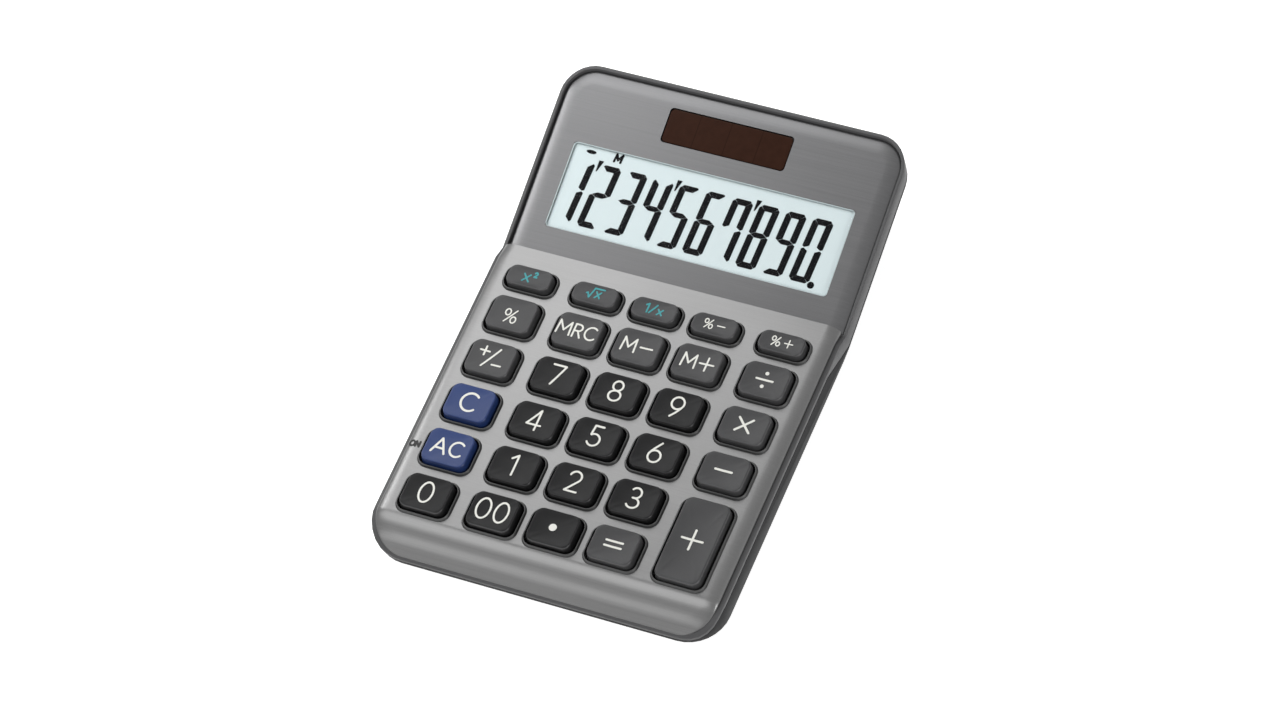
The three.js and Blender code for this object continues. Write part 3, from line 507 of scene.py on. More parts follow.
def fuller_corners(shape, amount):
    """Push the outer wall outward at the two front corners, most on their diagonals."""
    case = sizes("case")
    centre_y = case.origin_y + case.front + case.front_radius
    inside = 0.8 * case.front_radius
    for spot in shape.verts:
        dx = abs(spot.co.x) - case.width / 2 + case.front_radius
        dy = centre_y - spot.co.y
        reach = math.hypot(dx, dy)
        if dx > 0 and dy > 0 and reach > inside:
            more = amount / reach * (2 * dx * dy / reach ** 2) ** 2
            spot.co.x = math.copysign(abs(spot.co.x) + dx * more, spot.co.x)
            spot.co.y = centre_y - dy * (1 + more)


def eased_copy(node, name, radius, material, slot, fuller=0):
    """A merged copy of a CAD node with its sharp edges rounded, in place of that node."""
    shape = bmesh.new()
    shape.from_mesh(frame["nodes"][node].data)
    bmesh.ops.remove_doubles(shape, verts=shape.verts, dist=WELD)
    fuller_corners(shape, fuller)
    bmesh.ops.dissolve_limit(shape, angle_limit=math.radians(1), verts=shape.verts, edges=shape.edges)
    for face in shape.faces:
        face.smooth = True
    mesh = bpy.data.meshes.new(name)
    shape.to_mesh(mesh)
    shape.free()
    thing = piece(name, mesh, frame["nodes"][node]["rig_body"], material, [node], slot)
    bevel = thing.modifiers.new("Eased Edges", "BEVEL")
    bevel.width = radius
    bevel.segments = 2
    bevel.limit_method = "ANGLE"
    bevel.angle_limit = BEVELLED
    bevel.harden_normals = True


# ---- node trees ---------------------------------------------------------------------


def math_node(operation):
    """A method of Field that adds a math node."""
    return lambda *values: reckon(operation, *values)


class Field:
    """A socket to reckon with: each sum adds a math node to its tree."""

    def __init__(self, socket):
        self.socket = socket

    __add__ = math_node("ADD")
    __sub__ = math_node("SUBTRACT")
    __mul__ = math_node("MULTIPLY")
    __truediv__ = math_node("DIVIDE")
    __pow__ = math_node("POWER")
    __abs__ = math_node("ABSOLUTE")

    def __rsub__(self, other):
        return reckon("SUBTRACT", other, self)

    def __neg__(self):
        return self * -1

    def ranged(self, low, high, start=0.25, stop=0.75):
        """This field, with start to stop spread over low to high."""
        return Nodes(self.socket.id_data).field("ShaderNodeMapRange", {
            "Value": self, "From Min": start, "From Max": stop, "To Min": low, "To Max": high,
        }, "Result")


def feed(socket, value):
    """Links a node or a field to a socket, or sets the socket to a plain value."""
    if isinstance(value, bpy.types.Node):
        value = Field(value.outputs[0])
    if isinstance(value, Field):
        socket.id_data.links.new(value.socket, socket)
    else:
        socket.default_value = value


def reckon(operation, *values, clamp=False):
    """A math node on fields and numbers, in the tree of the first field."""
    tree = next(value.socket.id_data for value in values if isinstance(value, Field))
    node = Nodes(tree).add("ShaderNodeMath", operation=operation, use_clamp=clamp)
    for socket, value in zip(node.inputs, values):
        feed(socket, value)
    return Field(node.outputs[0])


class Nodes:
    """Adds nodes to a tree."""

    def __init__(self, tree):
        self.tree = tree

    def add(self, kind, inputs=None, **settings):
        node = self.tree.nodes.new(kind)
        for name, value in settings.items():
            setattr(node, name, value)
        for name, value in (inputs or {}).items():
            feed(node.inputs[name], value)
        return node

    def field(self, kind, inputs=None, output=0, **settings):
        return Field(self.add(kind, inputs, **settings).outputs[output])

    def vector(self, x=0, y=0, z=0):
        return self.field("ShaderNodeCombineXYZ", {"X": x, "Y": y, "Z": z})

    def parts(self, vector):
        """The X, Y and Z of a vector."""
        return [Field(socket) for socket in self.add("ShaderNodeSeparateXYZ", {"Vector": vector}).outputs]

    def position(self):
        return self.parts(self.add("GeometryNodeInputPosition"))

    def stored(self, name):
        return self.field("GeometryNodeInputNamedAttribute", {"Name": name}, "Attribute")

    def join(self, *shapes):
        node = self.add("GeometryNodeJoinGeometry")
        for shape in shapes:
            feed(node.inputs[0], shape)
        return node

    def surface(self, inputs):
        shader = self.add("ShaderNodeBsdfPrincipled", inputs)
        self.add("ShaderNodeOutputMaterial", {"Surface": shader})


def geometry_tree(name, *numbers):
    """The nodes and the input fields of a new Geometry Nodes tree."""
    tree = bpy.data.node_groups.new(name, "GeometryNodeTree")
    kinds = {"Geometry": "Geometry", **dict.fromkeys(numbers, "Float"), "Material": "Material"}
    for label, kind in kinds.items():
        tree.interface.new_socket(label, in_out="INPUT", socket_type="NodeSocket" + kind)
    tree.interface.new_socket("Geometry", in_out="OUTPUT", socket_type="NodeSocketGeometry")
    nodes = Nodes(tree)
    given = nodes.add("NodeGroupInput").outputs
    return nodes, {label: Field(given[label]) for label in kinds}


def finished_tree(nodes, geometry, material):
    """The tree, ended in Realize Instances and Set Material."""
    real = nodes.add("GeometryNodeRealizeInstances", {"Geometry": geometry})
    painted = nodes.add("GeometryNodeSetMaterial", {"Geometry": real, "Material": material})
    nodes.add("NodeGroupOutput", {"Geometry": painted})
    return nodes.tree


def grown(tree, finish, points=(), **values):
    """The plain mesh that a tree makes from values named like its inputs.

    A tree that repeats a shape takes points, each a place and the attributes it has there.
    """
    values = {name.replace("_", " ").title(): value for name, value in values.items()}
    values["Material"] = FINISHES[finish]
    mesh = bpy.data.meshes.new(tree.name)
    mesh.from_pydata([place for place, _ in points], [], [])
    for name in points[0][1] if points else ():
        column = [attributes[name] for _, attributes in points]
        mesh.attributes.new(name, "FLOAT", "POINT").data.foreach_set("value", column)
    holder = placed(tree.name, mesh)
    modifier = holder.modifiers.new(tree.name, "NODES")
    modifier.node_group = tree
    for item in tree.interface.items_tree:
        if item.in_out == "INPUT" and item.name in values:
            modifier[item.identifier] = values[item.name]
    graph = bpy.context.evaluated_depsgraph_get()
    made = bpy.data.meshes.new_from_object(holder.evaluated_get(graph), depsgraph=graph)
    holder.modifiers.remove(modifier)
    bpy.data.objects.remove(holder)
    bpy.data.meshes.remove(mesh)
    return made


@cache
def rounded_block_tree():
    """A block on a rounded rectangle, with tapered sides, a soft upper edge and a dished top.

    It is a cube from -1 to 1. Its lower half becomes the sides, its upper half the soft edge.
    """
    nodes, given = geometry_tree(
        "Rounded Block", "Width", "Length", "Corner Radius", "Base", "Shoulder", "Top", "Taper",
        "Side Taper", "Crown", "Dish", "Spacing")
    cube = nodes.add("GeometryNodeMeshCube", {
        "Size": (2, 2, 2), "Vertices X": given["Width"] / given["Spacing"],
        "Vertices Y": given["Length"] / given["Spacing"], "Vertices Z": 17,
    })
    x, y, z = nodes.position()
    reach = reckon("MAXIMUM", abs(x), abs(y))
    not_zero = reckon("MAXIMUM", reach, 1e-5)
    side = reckon("ADD", z, 1, clamp=True)
    roll = reckon("MAXIMUM", z, 0) * (math.pi / 2)
    inset = given["Taper"] * side + (given["Crown"] - given["Taper"]) * (1 - reckon("COSINE", roll))
    smallest = 0.2 * MM
    radius = reckon("MAXIMUM", given["Corner Radius"] - inset, smallest)
    held, over = [], []
    for at, size, more in ((x, "Width", given["Side Taper"]), (y, "Length", 0)):
        half = given[size] * 0.5 - inset - side * more
        on_edge = at / not_zero * half
        core = half - radius
        held.append(reckon("MAXIMUM", reckon("MINIMUM", on_edge, core), -core))
        over.append(on_edge - held[-1])
    gap = reckon("MAXIMUM", reckon("SQRT", over[0] ** 2 + over[1] ** 2), 1e-9)
    stretch = radius / gap
    spots = [reach * (inside + outside * stretch) for inside, outside in zip(held, over)]
    hollow = (1 - abs(x) ** 2) * (1 - abs(y) ** 4)
    on_top = reckon("FLOOR", (z + 1.001) * 0.5)
    walls = given["Base"] + side * (given["Shoulder"] - given["Base"])
    edge = reckon("SINE", roll) * (given["Top"] - given["Shoulder"])
    height = walls + edge - hollow * on_top * given["Dish"]
    shaped = nodes.add("GeometryNodeSetPosition", {
        "Geometry": cube, "Position": nodes.vector(*spots, height),
    })
    softened = nodes.add("GeometryNodeSetShadeSmooth", {"Geometry": shaped})
    return finished_tree(nodes, softened, given["Material"])


@cache
def collar_tree():
    """A raised lip round the socket at each point, swept along the socket's outline."""
    nodes, given = geometry_tree(
        "Socket Collars", "Width", "Length", "Corner Radius", "Lip Width", "Lip Top", "Lip Height", "Sunk",
        "Softness")
    wide, top, tall, sunk = (given[name] for name in ("Lip Width", "Lip Top", "Lip Height", "Sunk"))
    path = nodes.add("GeometryNodeCurvePrimitiveQuadrilateral", {
        "Width": given["Width"] + wide, "Height": given["Length"] + wide,
    })
    path = nodes.add("GeometryNodeFilletCurve", {
        "Curve": path, "Count": 8, "Radius": given["Corner Radius"] + wide * 0.5,
    }, mode="POLY")
    end = reckon("SIGN", nodes.position()[1])
    path = nodes.add("GeometryNodeStoreNamedAttribute", {"Geometry": path, "Name": "end", "Value": end})
    rings = nodes.add("GeometryNodeInstanceOnPoints", {"Points": given["Geometry"], "Instance": path})
    rings = nodes.add("GeometryNodeRealizeInstances", {"Geometry": rings})
    rings = nodes.add("GeometryNodeSetPosition", {
        "Geometry": rings, "Offset": nodes.vector(y=nodes.stored("end") * nodes.stored("longer") * 0.5),
    })
    inner = wide * -0.5
    crest = inner + top
    foot = crest + (wide - top) * ((tall + sunk) / tall)
    corners = ((inner, sunk), (inner, -tall), (crest, -tall), (foot, sunk))
    section = nodes.add("GeometryNodeCurvePrimitiveQuadrilateral", {
        f"Point {i}": nodes.vector(*corner) for i, corner in enumerate(corners, 1)
    }, mode="POINTS")
    section = nodes.add("GeometryNodeFilletCurve", {
        "Curve": section, "Count": 3, "Radius": given["Softness"],
    }, mode="POLY")
    swept = nodes.add("GeometryNodeCurveToMesh", {"Curve": rings, "Profile Curve": section})
    softened = nodes.add("GeometryNodeSetShadeSmooth", {"Geometry": swept})
    return finished_tree(nodes, softened, given["Material"])


@cache
def bar_tree():
    """Flat six-cornered bars, one at each point, turned, flipped and leaned together."""
    nodes, given = geometry_tree(
        "Digit Bars", "Bar Length", "Bar Width", "Outer Cut", "Tip Cut", "Tip Side", "Inner Cut",
        "Far Outer Cut", "Far Tip Cut", "Far Tip Side", "Far Inner Cut", "Slant")
    end, side = given["Bar Length"] * 0.5, given["Bar Width"] * 0.5
    corners = (
        (given["Tip Cut"] - end, given["Tip Side"]), (given["Outer Cut"] - end, side),
        (end - given["Far Outer Cut"], side), (end - given["Far Tip Cut"], given["Far Tip Side"]),
        (end - given["Far Inner Cut"], -side), (given["Inner Cut"] - end, -side),
    )
    corner_number = nodes.add("GeometryNodeInputIndex")
    choice = nodes.add("GeometryNodeIndexSwitch", {"Index": corner_number}, data_type="VECTOR")
    while len(choice.index_switch_items) < len(corners):
        choice.index_switch_items.new()
    for i, corner in enumerate(corners, 1):
        feed(choice.inputs[i], nodes.vector(*corner))
    bar = nodes.add("GeometryNodeMeshCircle", {"Vertices": len(corners)}, fill_type="NGON")
    bar = nodes.add("GeometryNodeSetPosition", {"Geometry": bar, "Position": choice})
    bars = nodes.add("GeometryNodeInstanceOnPoints", {
        "Points": given["Geometry"], "Instance": bar,
        "Rotation": nodes.vector(z=nodes.stored("turn")), "Scale": nodes.vector(1, nodes.stored("flip"), 1),
    })
    bars = nodes.add("GeometryNodeRealizeInstances", {"Geometry": bars})
    lean = nodes.vector(nodes.position()[1] * given["Slant"])
    bars = nodes.add("GeometryNodeSetPosition", {"Geometry": bars, "Offset": lean})
    return finished_tree(nodes, bars, given["Material"])


@cache
def screw_tree():
    """A round-headed screw with a crossed slot, one at each point, head down."""
    nodes, given = geometry_tree(
        "Screws", "Head Radius", "Head Height", "Shank Radius", "Shank Length", "Slot Width", "Slot Depth")

    def cylinder(vertices, radius, tall, foot):
        round_bar = nodes.add("GeometryNodeMeshCylinder", {
            "Vertices": vertices, "Radius": radius, "Depth": tall,
        })
        return nodes.add("GeometryNodeTransform", {
            "Geometry": round_bar, "Translation": nodes.vector(z=tall * 0.5 + foot),
        })

    head = cylinder(32, given["Head Radius"], given["Head Height"], 0)
    shank = cylinder(20, given["Shank Radius"], given["Shank Length"], given["Head Height"])
    across, narrow, deep = given["Head Radius"] * 1.3, given["Slot Width"], given["Slot Depth"] * 2
    cross = [nodes.add("GeometryNodeMeshCube", {"Size": nodes.vector(*plan, deep)})
             for plan in ((across, narrow), (narrow, across))]
    slotted = nodes.add("GeometryNodeMeshBoolean", {
        "Mesh 1": head, "Mesh 2": nodes.join(*cross), "Self Intersection": True,
    }, operation="DIFFERENCE", solver="EXACT")
    screws = nodes.add("GeometryNodeInstanceOnPoints", {
        "Points": given["Geometry"], "Instance": nodes.join(slotted, shank),
    })
    return finished_tree(nodes, screws, given["Material"])


# ---- materials ----------------------------------------------------------------------

FINISHES = {}


def material_nodes(name):
    """The empty node tree of a new finish."""
    material = bpy.data.materials.new(name)
    material.use_nodes = True
    material.node_tree.nodes.clear()
    FINISHES[name] = material
    return Nodes(material.node_tree)


def coordinates(nodes, kind="Object"):
    return nodes.field("ShaderNodeTexCoord", output=kind)


def grain(nodes, scale, stretch=(1, 1, 1), detail=2.0):
    """Noise on the piece's own coordinates, stretched along the axes."""
    mapped = nodes.add("ShaderNodeMapping", {"Vector": coordinates(nodes), "Scale": stretch})
    return nodes.field("ShaderNodeTexNoise", {"Vector": mapped, "Scale": scale, "Detail": detail}, "Fac")


def colour_mix(factor, first, second):
    node = Nodes(factor.socket.id_data).add("ShaderNodeMix", data_type="RGBA")
    feed(node.inputs[0], factor)
    for i, value in ((6, first), (7, second)):
        feed(node.inputs[i], value if isinstance(value, Field) else (*value, 1))
    return Field(node.outputs[2])


def tinted(base, share):
    return [min(channel * share, 1) for channel in base]


def shaded(shade, base, spread):
    """The base colour, made darker and lighter by a share of itself."""
    return colour_mix(shade.ranged(0, 1), tinted(base, 1 - spread), tinted(base, 1 + spread))


def bumped(height, depth, strength):
    return Nodes(height.socket.id_data).add("ShaderNodeBump", {
        "Height": height, "Distance": depth, "Strength": strength,
    })


def brushed_metal(name, base, roughness, metallic):
    """Satin metal with fine brush lines across the width and a faint bead-blasted grain."""
    nodes = material_nodes(name)
    brushed = grain(nodes, 700, (0.03, 4, 2), 4) * 0.6 + grain(nodes, 5200) * 0.4
    cloud = grain(nodes, 45)
    nodes.surface({
        "Base Color": shaded(brushed, base, 0.1),
        "Roughness": brushed.ranged(roughness - 0.04, roughness + 0.04) + cloud.ranged(-0.015, 0.015),
        "Metallic": metallic,
        "Normal": bumped(brushed, 0.006 * MM, 0.35),
    })


def moulded_plastic(name, base, roughness, gloss=0.5, wall_gloss=None, spread=0.05, relief=0.006):
    """Moulded plastic with a fine spark-eroded texture and slight wear in its sheen.

    Key caps have matt tops and smoother walls, so their gloss may differ with the turn of the face.
    """
    nodes = material_nodes(name)
    grit = grain(nodes, 4200, detail=3)
    wear = grain(nodes, 160, detail=4)
    if wall_gloss is not None:
        upward = nodes.parts(coordinates(nodes, "Normal"))[2]
        gloss = upward.ranged(wall_gloss, gloss, 0.4, 0.9)
    nodes.surface({
        "Base Color": shaded(wear, base, spread),
        "Roughness": grit.ranged(roughness - 0.05, roughness + 0.05) + wear.ranged(-0.04, 0.04),
        "Specular IOR Level": gloss,
        "Normal": bumped(grit, relief * MM, 0.5),
    })


def matt_layer(name, base, scale, detail, spread, roughness, gloss):
    """A print or a ground, a little uneven in its cover."""
    nodes = material_nodes(name)
    cover = grain(nodes, scale, detail=detail)
    nodes.surface({
        "Base Color": shaded(cover, base, spread),
        "Roughness": cover.ranged(*roughness),
        "Specular IOR Level": gloss,
    })


def ink(name, base, gloss=0.3):
    matt_layer(name, base, 1800, 3, 0.03, (0.42, 0.55), gloss)


def clear_cover(name):
    """Thin clear window over the display: what is under it, and a light reflection."""
    nodes = material_nodes(name)
    nodes.surface({
        "Base Color": (0.02, 0.02, 0.02, 1),
        "Roughness": grain(nodes, 220).ranged(0.03, 0.07),
        "Alpha": 0.03,
    })


def solar_glass(name, base):
    """Four dark amorphous cells under glass, parted by thin lines."""
    nodes = material_nodes(name)
    across = nodes.parts(coordinates(nodes))[0]
    cell = sizes("display").solar_width / 4
    from_line = abs(reckon("FRACT", across / cell + 0.5) - 0.5)
    line = reckon("LESS_THAN", from_line, 0.014)
    mottle = grain(nodes, 500, detail=3)
    nodes.surface({
        "Base Color": colour_mix(line * 0.5, shaded(mottle, base, 0.08), tinted(base, 0.45)),
        "Roughness": mottle.ranged(0.16, 0.24),
        "Specular IOR Level": 0.02,
    })


def circuit_board(name, base):
    """Green solder mask with lighter copper tracks under it."""
    nodes = material_nodes(name)
    tracks = nodes.add("ShaderNodeTexBrick", {
        "Vector": coordinates(nodes), "Scale": 220, "Mortar Size": 0.06, "Color1": (*base, 1),
        "Color2": (*base, 1), "Mortar": (*tinted(base, 1.9), 1),
    })
    nodes.surface({
        "Base Color": Field(tracks.outputs["Color"]),
        "Roughness": grain(nodes, 900).ranged(0.35, 0.5),
        "Normal": bumped(Field(tracks.outputs["Fac"]), 0.02 * MM, -0.4),
    })


def plated_steel(name, base, roughness):
    """Turned or drawn steel with fine scratches."""
    nodes = material_nodes(name)
    scratches = grain(nodes, 1400, (1, 8, 1), 4)
    nodes.surface({
        "Base Color": shaded(scratches, base, 0.08),
        "Roughness": scratches.ranged(roughness - 0.08, roughness + 0.08),
        "Metallic": 1.0,
        "Normal": bumped(scratches, 0.004 * MM, 0.4),
    })


def paint_box():
    """Every finish of the calculator."""
    tint = sizes("colours")
    brushed_metal("face_metal", tint.face, 0.33, 0.9)
    brushed_metal("lip_metal", tint.lip, 0.45, 0.6)
    brushed_metal("panel_metal", tint.panel, 0.32, 0.9)
    moulded_plastic("rim_plastic", tint.rim, 0.42, 0.25)
    moulded_plastic("base_plastic", tint.base, 0.5, 0.15)
    moulded_plastic("black_key", tint.black_key, 0.36, 0.14, 0.7)
    moulded_plastic("grey_key", tint.grey_key, 0.36, 0.2, 0.6)
    moulded_plastic("blue_key", tint.blue_key, 0.36, 0.25, 0.6)
    ink("white_ink", tint.ink)
    ink("teal_ink", tint.teal)
    ink("black_ink", srgb(24, 24, 25))
    ink("display_digits", tint.digits, 0.05)
    matt_layer("crystal", tint.crystal, 2600, 2, 0.012, (0.5, 0.62), 0.25)
    clear_cover("clear_cover")
    solar_glass("solar_glass", tint.solar)
    moulded_plastic("window_edge", srgb(186, 199, 201), 0.6, spread=0.02)
    moulded_plastic("reflector", srgb(215, 220, 221), 0.35, spread=0.02)
    moulded_plastic("rubber", srgb(34, 34, 35), 0.85, 0.2, spread=0.08, relief=0.02)
    for name, shade, roughness in (
        ("holder", (70, 72, 74), 0.55), ("ribbon", (176, 132, 62), 0.45), ("red_lead", (158, 36, 28), 0.5),
        ("black_lead", (26, 26, 27), 0.5), ("silicone", (148, 153, 157), 0.75),
        ("resin", (18, 18, 19), 0.28),
    ):
        moulded_plastic(name, srgb(*shade), roughness)
    circuit_board("board", srgb(38, 92, 50))
    plated_steel("bright_steel", srgb(196, 197, 199), 0.3)
    plated_steel("screw_steel", srgb(150, 150, 152), 0.35)


# ---- keys ---------------------------------------------------------------------------

KEY_ROWS = (
    ("key_cost", "key_sell", "key_margin", "key_tax_minus", "key_tax_plus"),
    ("key_percent", "key_memory_recall", "key_memory_minus", "key_memory_plus", "key_divide"),
    ("key_sign", "key_7", "key_8", "key_9", "key_multiply"),
    ("key_clear", "key_4", "key_5", "key_6", "key_minus"),
    ("key_all_clear", "key_1", "key_2", "key_3", None),
    ("key_0", "key_00", "key_decimal", "key_equals", "key_plus"),
)
BLUE_KEYS = ("key_clear", "key_all_clear")
BLACK_KEYS = ("key_0", "key_00", "key_decimal", *(f"key_{digit}" for digit in range(1, 10)))


def key_places():
    """Name, middle and socket length of every key on the face."""
    key = sizes("keys")
    columns = (-key.outer_column, -key.inner_column, 0, key.inner_column, key.outer_column)
    fronts = [4 * key.row_pitch + key.short_pitch, *(row * key.row_pitch for row in (4, 3, 2, 1, 0))]
    for row, (names, front) in enumerate(zip(KEY_ROWS, fronts)):
        for name, x in zip(names, columns):
            if name is None:
                continue
            long = key.short_length if row == 0 else key.socket_length
            if name == "key_plus":
                long += key.row_pitch
            yield name, x, front + long / 2, long


def key_colour(name):
    if name in BLUE_KEYS:
        return "blue"
    return "black" if name in BLACK_KEYS else "grey"


def block(finish, **values):
    """A rounded block with upright sides and a flat top, unless the values say otherwise."""
    plain = {"spacing": 0.4 * MM, "taper": 0.0, "side_taper": 0.0, "crown": 0.0, "dish": 0.0}
    return grown(rounded_block_tree(), finish, **{**plain, **values})


def key_cap(name, long):
    key = sizes("keys")
    gap = key.clearance
    return block(
        key_colour(name) + "_key", width=key.socket_width - 2 * gap, length=long - 2 * gap,
        corner_radius=key.socket_radius - gap, base=key.base, shoulder=key.shoulder, top=key.rise,
        taper=key.taper, side_taper=key.side_taper, crown=key.crown, dish=key.dish)


# ---- legends ------------------------------------------------------------------------
# A glyph is a width and its strokes, on a height of 1. A stroke is a list of points.

LETTER_SPACE = 0.24
LONGEST_STEP = 0.8  # Millimetres between the points of a stroke.


def line(*points):
    """Straight strokes from point to point."""
    return [list(ends) for ends in zip(points, points[1:])]


def arc(x, y, rx, ry, start, end):
    """One curved stroke between two angles in degrees."""
    count = max(int(abs(end - start) / 9), 2)
    angles = [math.radians(start + (end - start) * i / count) for i in range(count + 1)]
    return [[(x + rx * math.cos(angle), y + ry * math.sin(angle)) for angle in angles]]


def bend(start, middle, end):
    """One curved stroke drawn towards a middle point."""
    shares = [i / 10 for i in range(11)]
    return [[tuple((1 - t) ** 2 * a + 2 * t * (1 - t) * b + t * t * c
                   for a, b, c in zip(start, middle, end)) for t in shares]]


GLYPHS = {
    "0": (0.62, arc(0.31, 0.5, 0.31, 0.5, -90, 270)),
    "1": (0.28, line((0, 0.8), (0.26, 1), (0.26, 0))),
    "2": (0.56, arc(0.27, 0.73, 0.27, 0.27, 165, -38) + line((0.48, 0.56), (0, 0), (0.56, 0))),
    "3": (0.54, arc(0.25, 0.75, 0.24, 0.25, 145, -90) + line((0.25, 0.5), (0.17, 0.5))
          + arc(0.25, 0.25, 0.28, 0.25, 90, -150)),
    "4": (0.66, line((0.46, 0), (0.46, 1), (0, 0.26), (0.66, 0.26))),
    "5": (0.56, line((0.52, 1), (0.12, 1), (0.07, 0.56)) + arc(0.26, 0.3, 0.29, 0.3, 128, -150)),
    "6": (0.6, arc(0.3, 0.3, 0.29, 0.3, 0, 360) + bend((0.44, 1), (0.1, 0.62), (0.015, 0.36))),
    "7": (0.6, line((0, 1), (0.6, 1), (0.18, 0))),
    "8": (0.58, arc(0.29, 0.76, 0.23, 0.24, -90, 270) + arc(0.29, 0.26, 0.28, 0.26, -270, 90)),
    "9": (0.6, arc(0.3, 0.7, 0.29, 0.3, 0, 360) + bend((0.16, 0), (0.5, 0.38), (0.585, 0.64))),
    "C": (0.86, arc(0.47, 0.5, 0.47, 0.5, 47, 313)),
    "A": (0.86, line((0, 0), (0.43, 1), (0.86, 0)) + line((0.15, 0.33), (0.71, 0.33))),
    "M": (0.94, line((0, 0), (0.06, 1), (0.47, 0.3), (0.88, 1), (0.94, 0))),
    "R": (0.58, line((0, 0), (0, 1), (0.28, 1)) + arc(0.28, 0.745, 0.26, 0.255, 90, -90)
          + line((0.28, 0.49), (0, 0.49)) + line((0.28, 0.49), (0.56, 0))),
    "O": (0.94, arc(0.47, 0.5, 0.47, 0.5, -90, 270)),
    "N": (0.7, line((0, 0), (0, 1), (0.7, 0), (0.7, 1))),
    "x": (0.5, line((0, 0), (0.5, 0.6)) + line((0, 0.6), (0.5, 0))),
    "+": (1.0, line((0, 0.5), (1, 0.5)) + line((0.5, 0), (0.5, 1))),
    "-": (0.8, line((0, 0.5), (0.8, 0.5))),
    "=": (1.0, line((0, 0.67), (1, 0.67)) + line((0, 0.33), (1, 0.33))),
    "*": (1.0, line((0, 0), (1, 1)) + line((0, 1), (1, 0))),
    ":": (1.0, line((0, 0.5), (1, 0.5))),
    "%": (0.9, arc(0.18, 0.76, 0.18, 0.24, -90, 270) + arc(0.72, 0.24, 0.18, 0.24, -90, 270)
          + line((0.12, 0), (0.78, 1))),
    "/": (0.6, line((0, 0), (0.6, 1))),
    "W": (1.0, line((0, 0), (0.14, 1), (0.46, 0.25), (0.96, 1), (0.86, 0))),
    "q": (1.75, line((0, 0.42), (0.14, 0.5), (0.38, 0), (0.72, 1.12), (1.75, 1.12))
          + line((0.98, 0.1), (1.5, 0.78)) + line((0.98, 0.78), (1.5, 0.1))),
}


def ribbon(stroke, width):
    """Outline of a stroke with round ends."""
    left, right = [], []
    for i, point in enumerate(stroke):
        ahead = Vector(stroke[min(i + 1, len(stroke) - 1)]) - Vector(stroke[max(i - 1, 0)])
        ahead.normalize()
        side = Vector((-ahead.y, ahead.x)) * width / 2
        left.append(Vector(point) + side)
        right.append(Vector(point) - side)

    def cap(centre, start):
        centre = Vector(centre)
        return [centre + Matrix.Rotation(-math.pi * i / 6, 2) @ (start - centre) for i in range(1, 6)]

    edge = [*left, *cap(stroke[-1], left[-1]), *reversed(right), *cap(stroke[0], right[0])]
    return edge[::-1]


def halved(stroke):
    """A closed stroke as two open ones, so that its outline has a hole."""
    if (Vector(stroke[0]) - Vector(stroke[-1])).length > NEAR:
        return [stroke]
    middle = len(stroke) // 2
    return [stroke[:middle + 1], stroke[middle:]]


def finer(stroke):
    """The stroke with more points on its long stretches."""
    points = [stroke[0]]
    for a, b in zip(stroke, stroke[1:]):
        parts = max(int(math.dist(a, b) / LONGEST_STEP), 1)
        points.extend((a[0] + (b[0] - a[0]) * i / parts, a[1] + (b[1] - a[1]) * i / parts)
                      for i in range(1, parts + 1))
    return points


def lettering(words, width):
    """Outlines in millimetres of (text, height, x, y) entries, each centred on its x and y."""
    strokes = []
    for text, tall, x, y in words:
        glyphs = [GLYPHS[letter] for letter in text]
        total = sum(glyph[0] for glyph in glyphs) + LETTER_SPACE * (len(glyphs) - 1)
        high = tall - width
        at = -total / 2
        for wide, parts in glyphs:
            for part in parts:
                strokes.append([(x + (at + px) * high, y + (py - 0.5) * high) for px, py in part])
            at += wide + LETTER_SPACE
    return [ribbon(finer(part), width) for stroke in strokes for part in halved(stroke)]


def oval(x, y, rx, ry):
    return [(x + rx * math.cos(i * math.pi / 12), y + ry * math.sin(i * math.pi / 12)) for i in range(24)]


def counterclockwise(shape):
    area = sum(a[0] * b[1] - b[0] * a[1] for a, b in zip(shape, shape[1:] + shape[:1]))
    return shape if area > 0 else shape[::-1]


def thicken(layer, depth):
    """Turns flat faces into closed plates of a given depth."""
    bmesh.ops.recalc_face_normals(layer, faces=layer.faces)
    for face in layer.faces:
        if face.normal.z < 0:
            face.normal_flip()
    lifted = bmesh.ops.extrude_face_region(layer, geom=layer.faces[:], use_keep_orig=True)
    for part in lifted["geom"]:
        if isinstance(part, bmesh.types.BMVert):
            part.co.z += depth
    bmesh.ops.recalc_face_normals(layer, faces=layer.faces)


def printed(shapes, surface, ink_depth, material):
    """A thin closed layer of ink on a surface, from outlines in millimetres that may overlap."""
    points, faces, _ = filled([counterclockwise(shape) for shape in shapes])
    layer = bmesh.new()
    spots = [layer.verts.new((x * MM, y * MM, surface(x * MM, y * MM) + ink_depth / 2)) for x, y in points]
    for face, inside in faces:
        if inside:
            layer.faces.new([spots[i] for i in face])
    bmesh.ops.delete(layer, geom=[spot for spot in layer.verts if not spot.link_faces], context="VERTS")
    thicken(layer, ink_depth)
    mesh = bpy.data.meshes.new("print")
    layer.to_mesh(mesh)
    layer.free()
    mesh.materials.append(FINISHES[material])
    return mesh


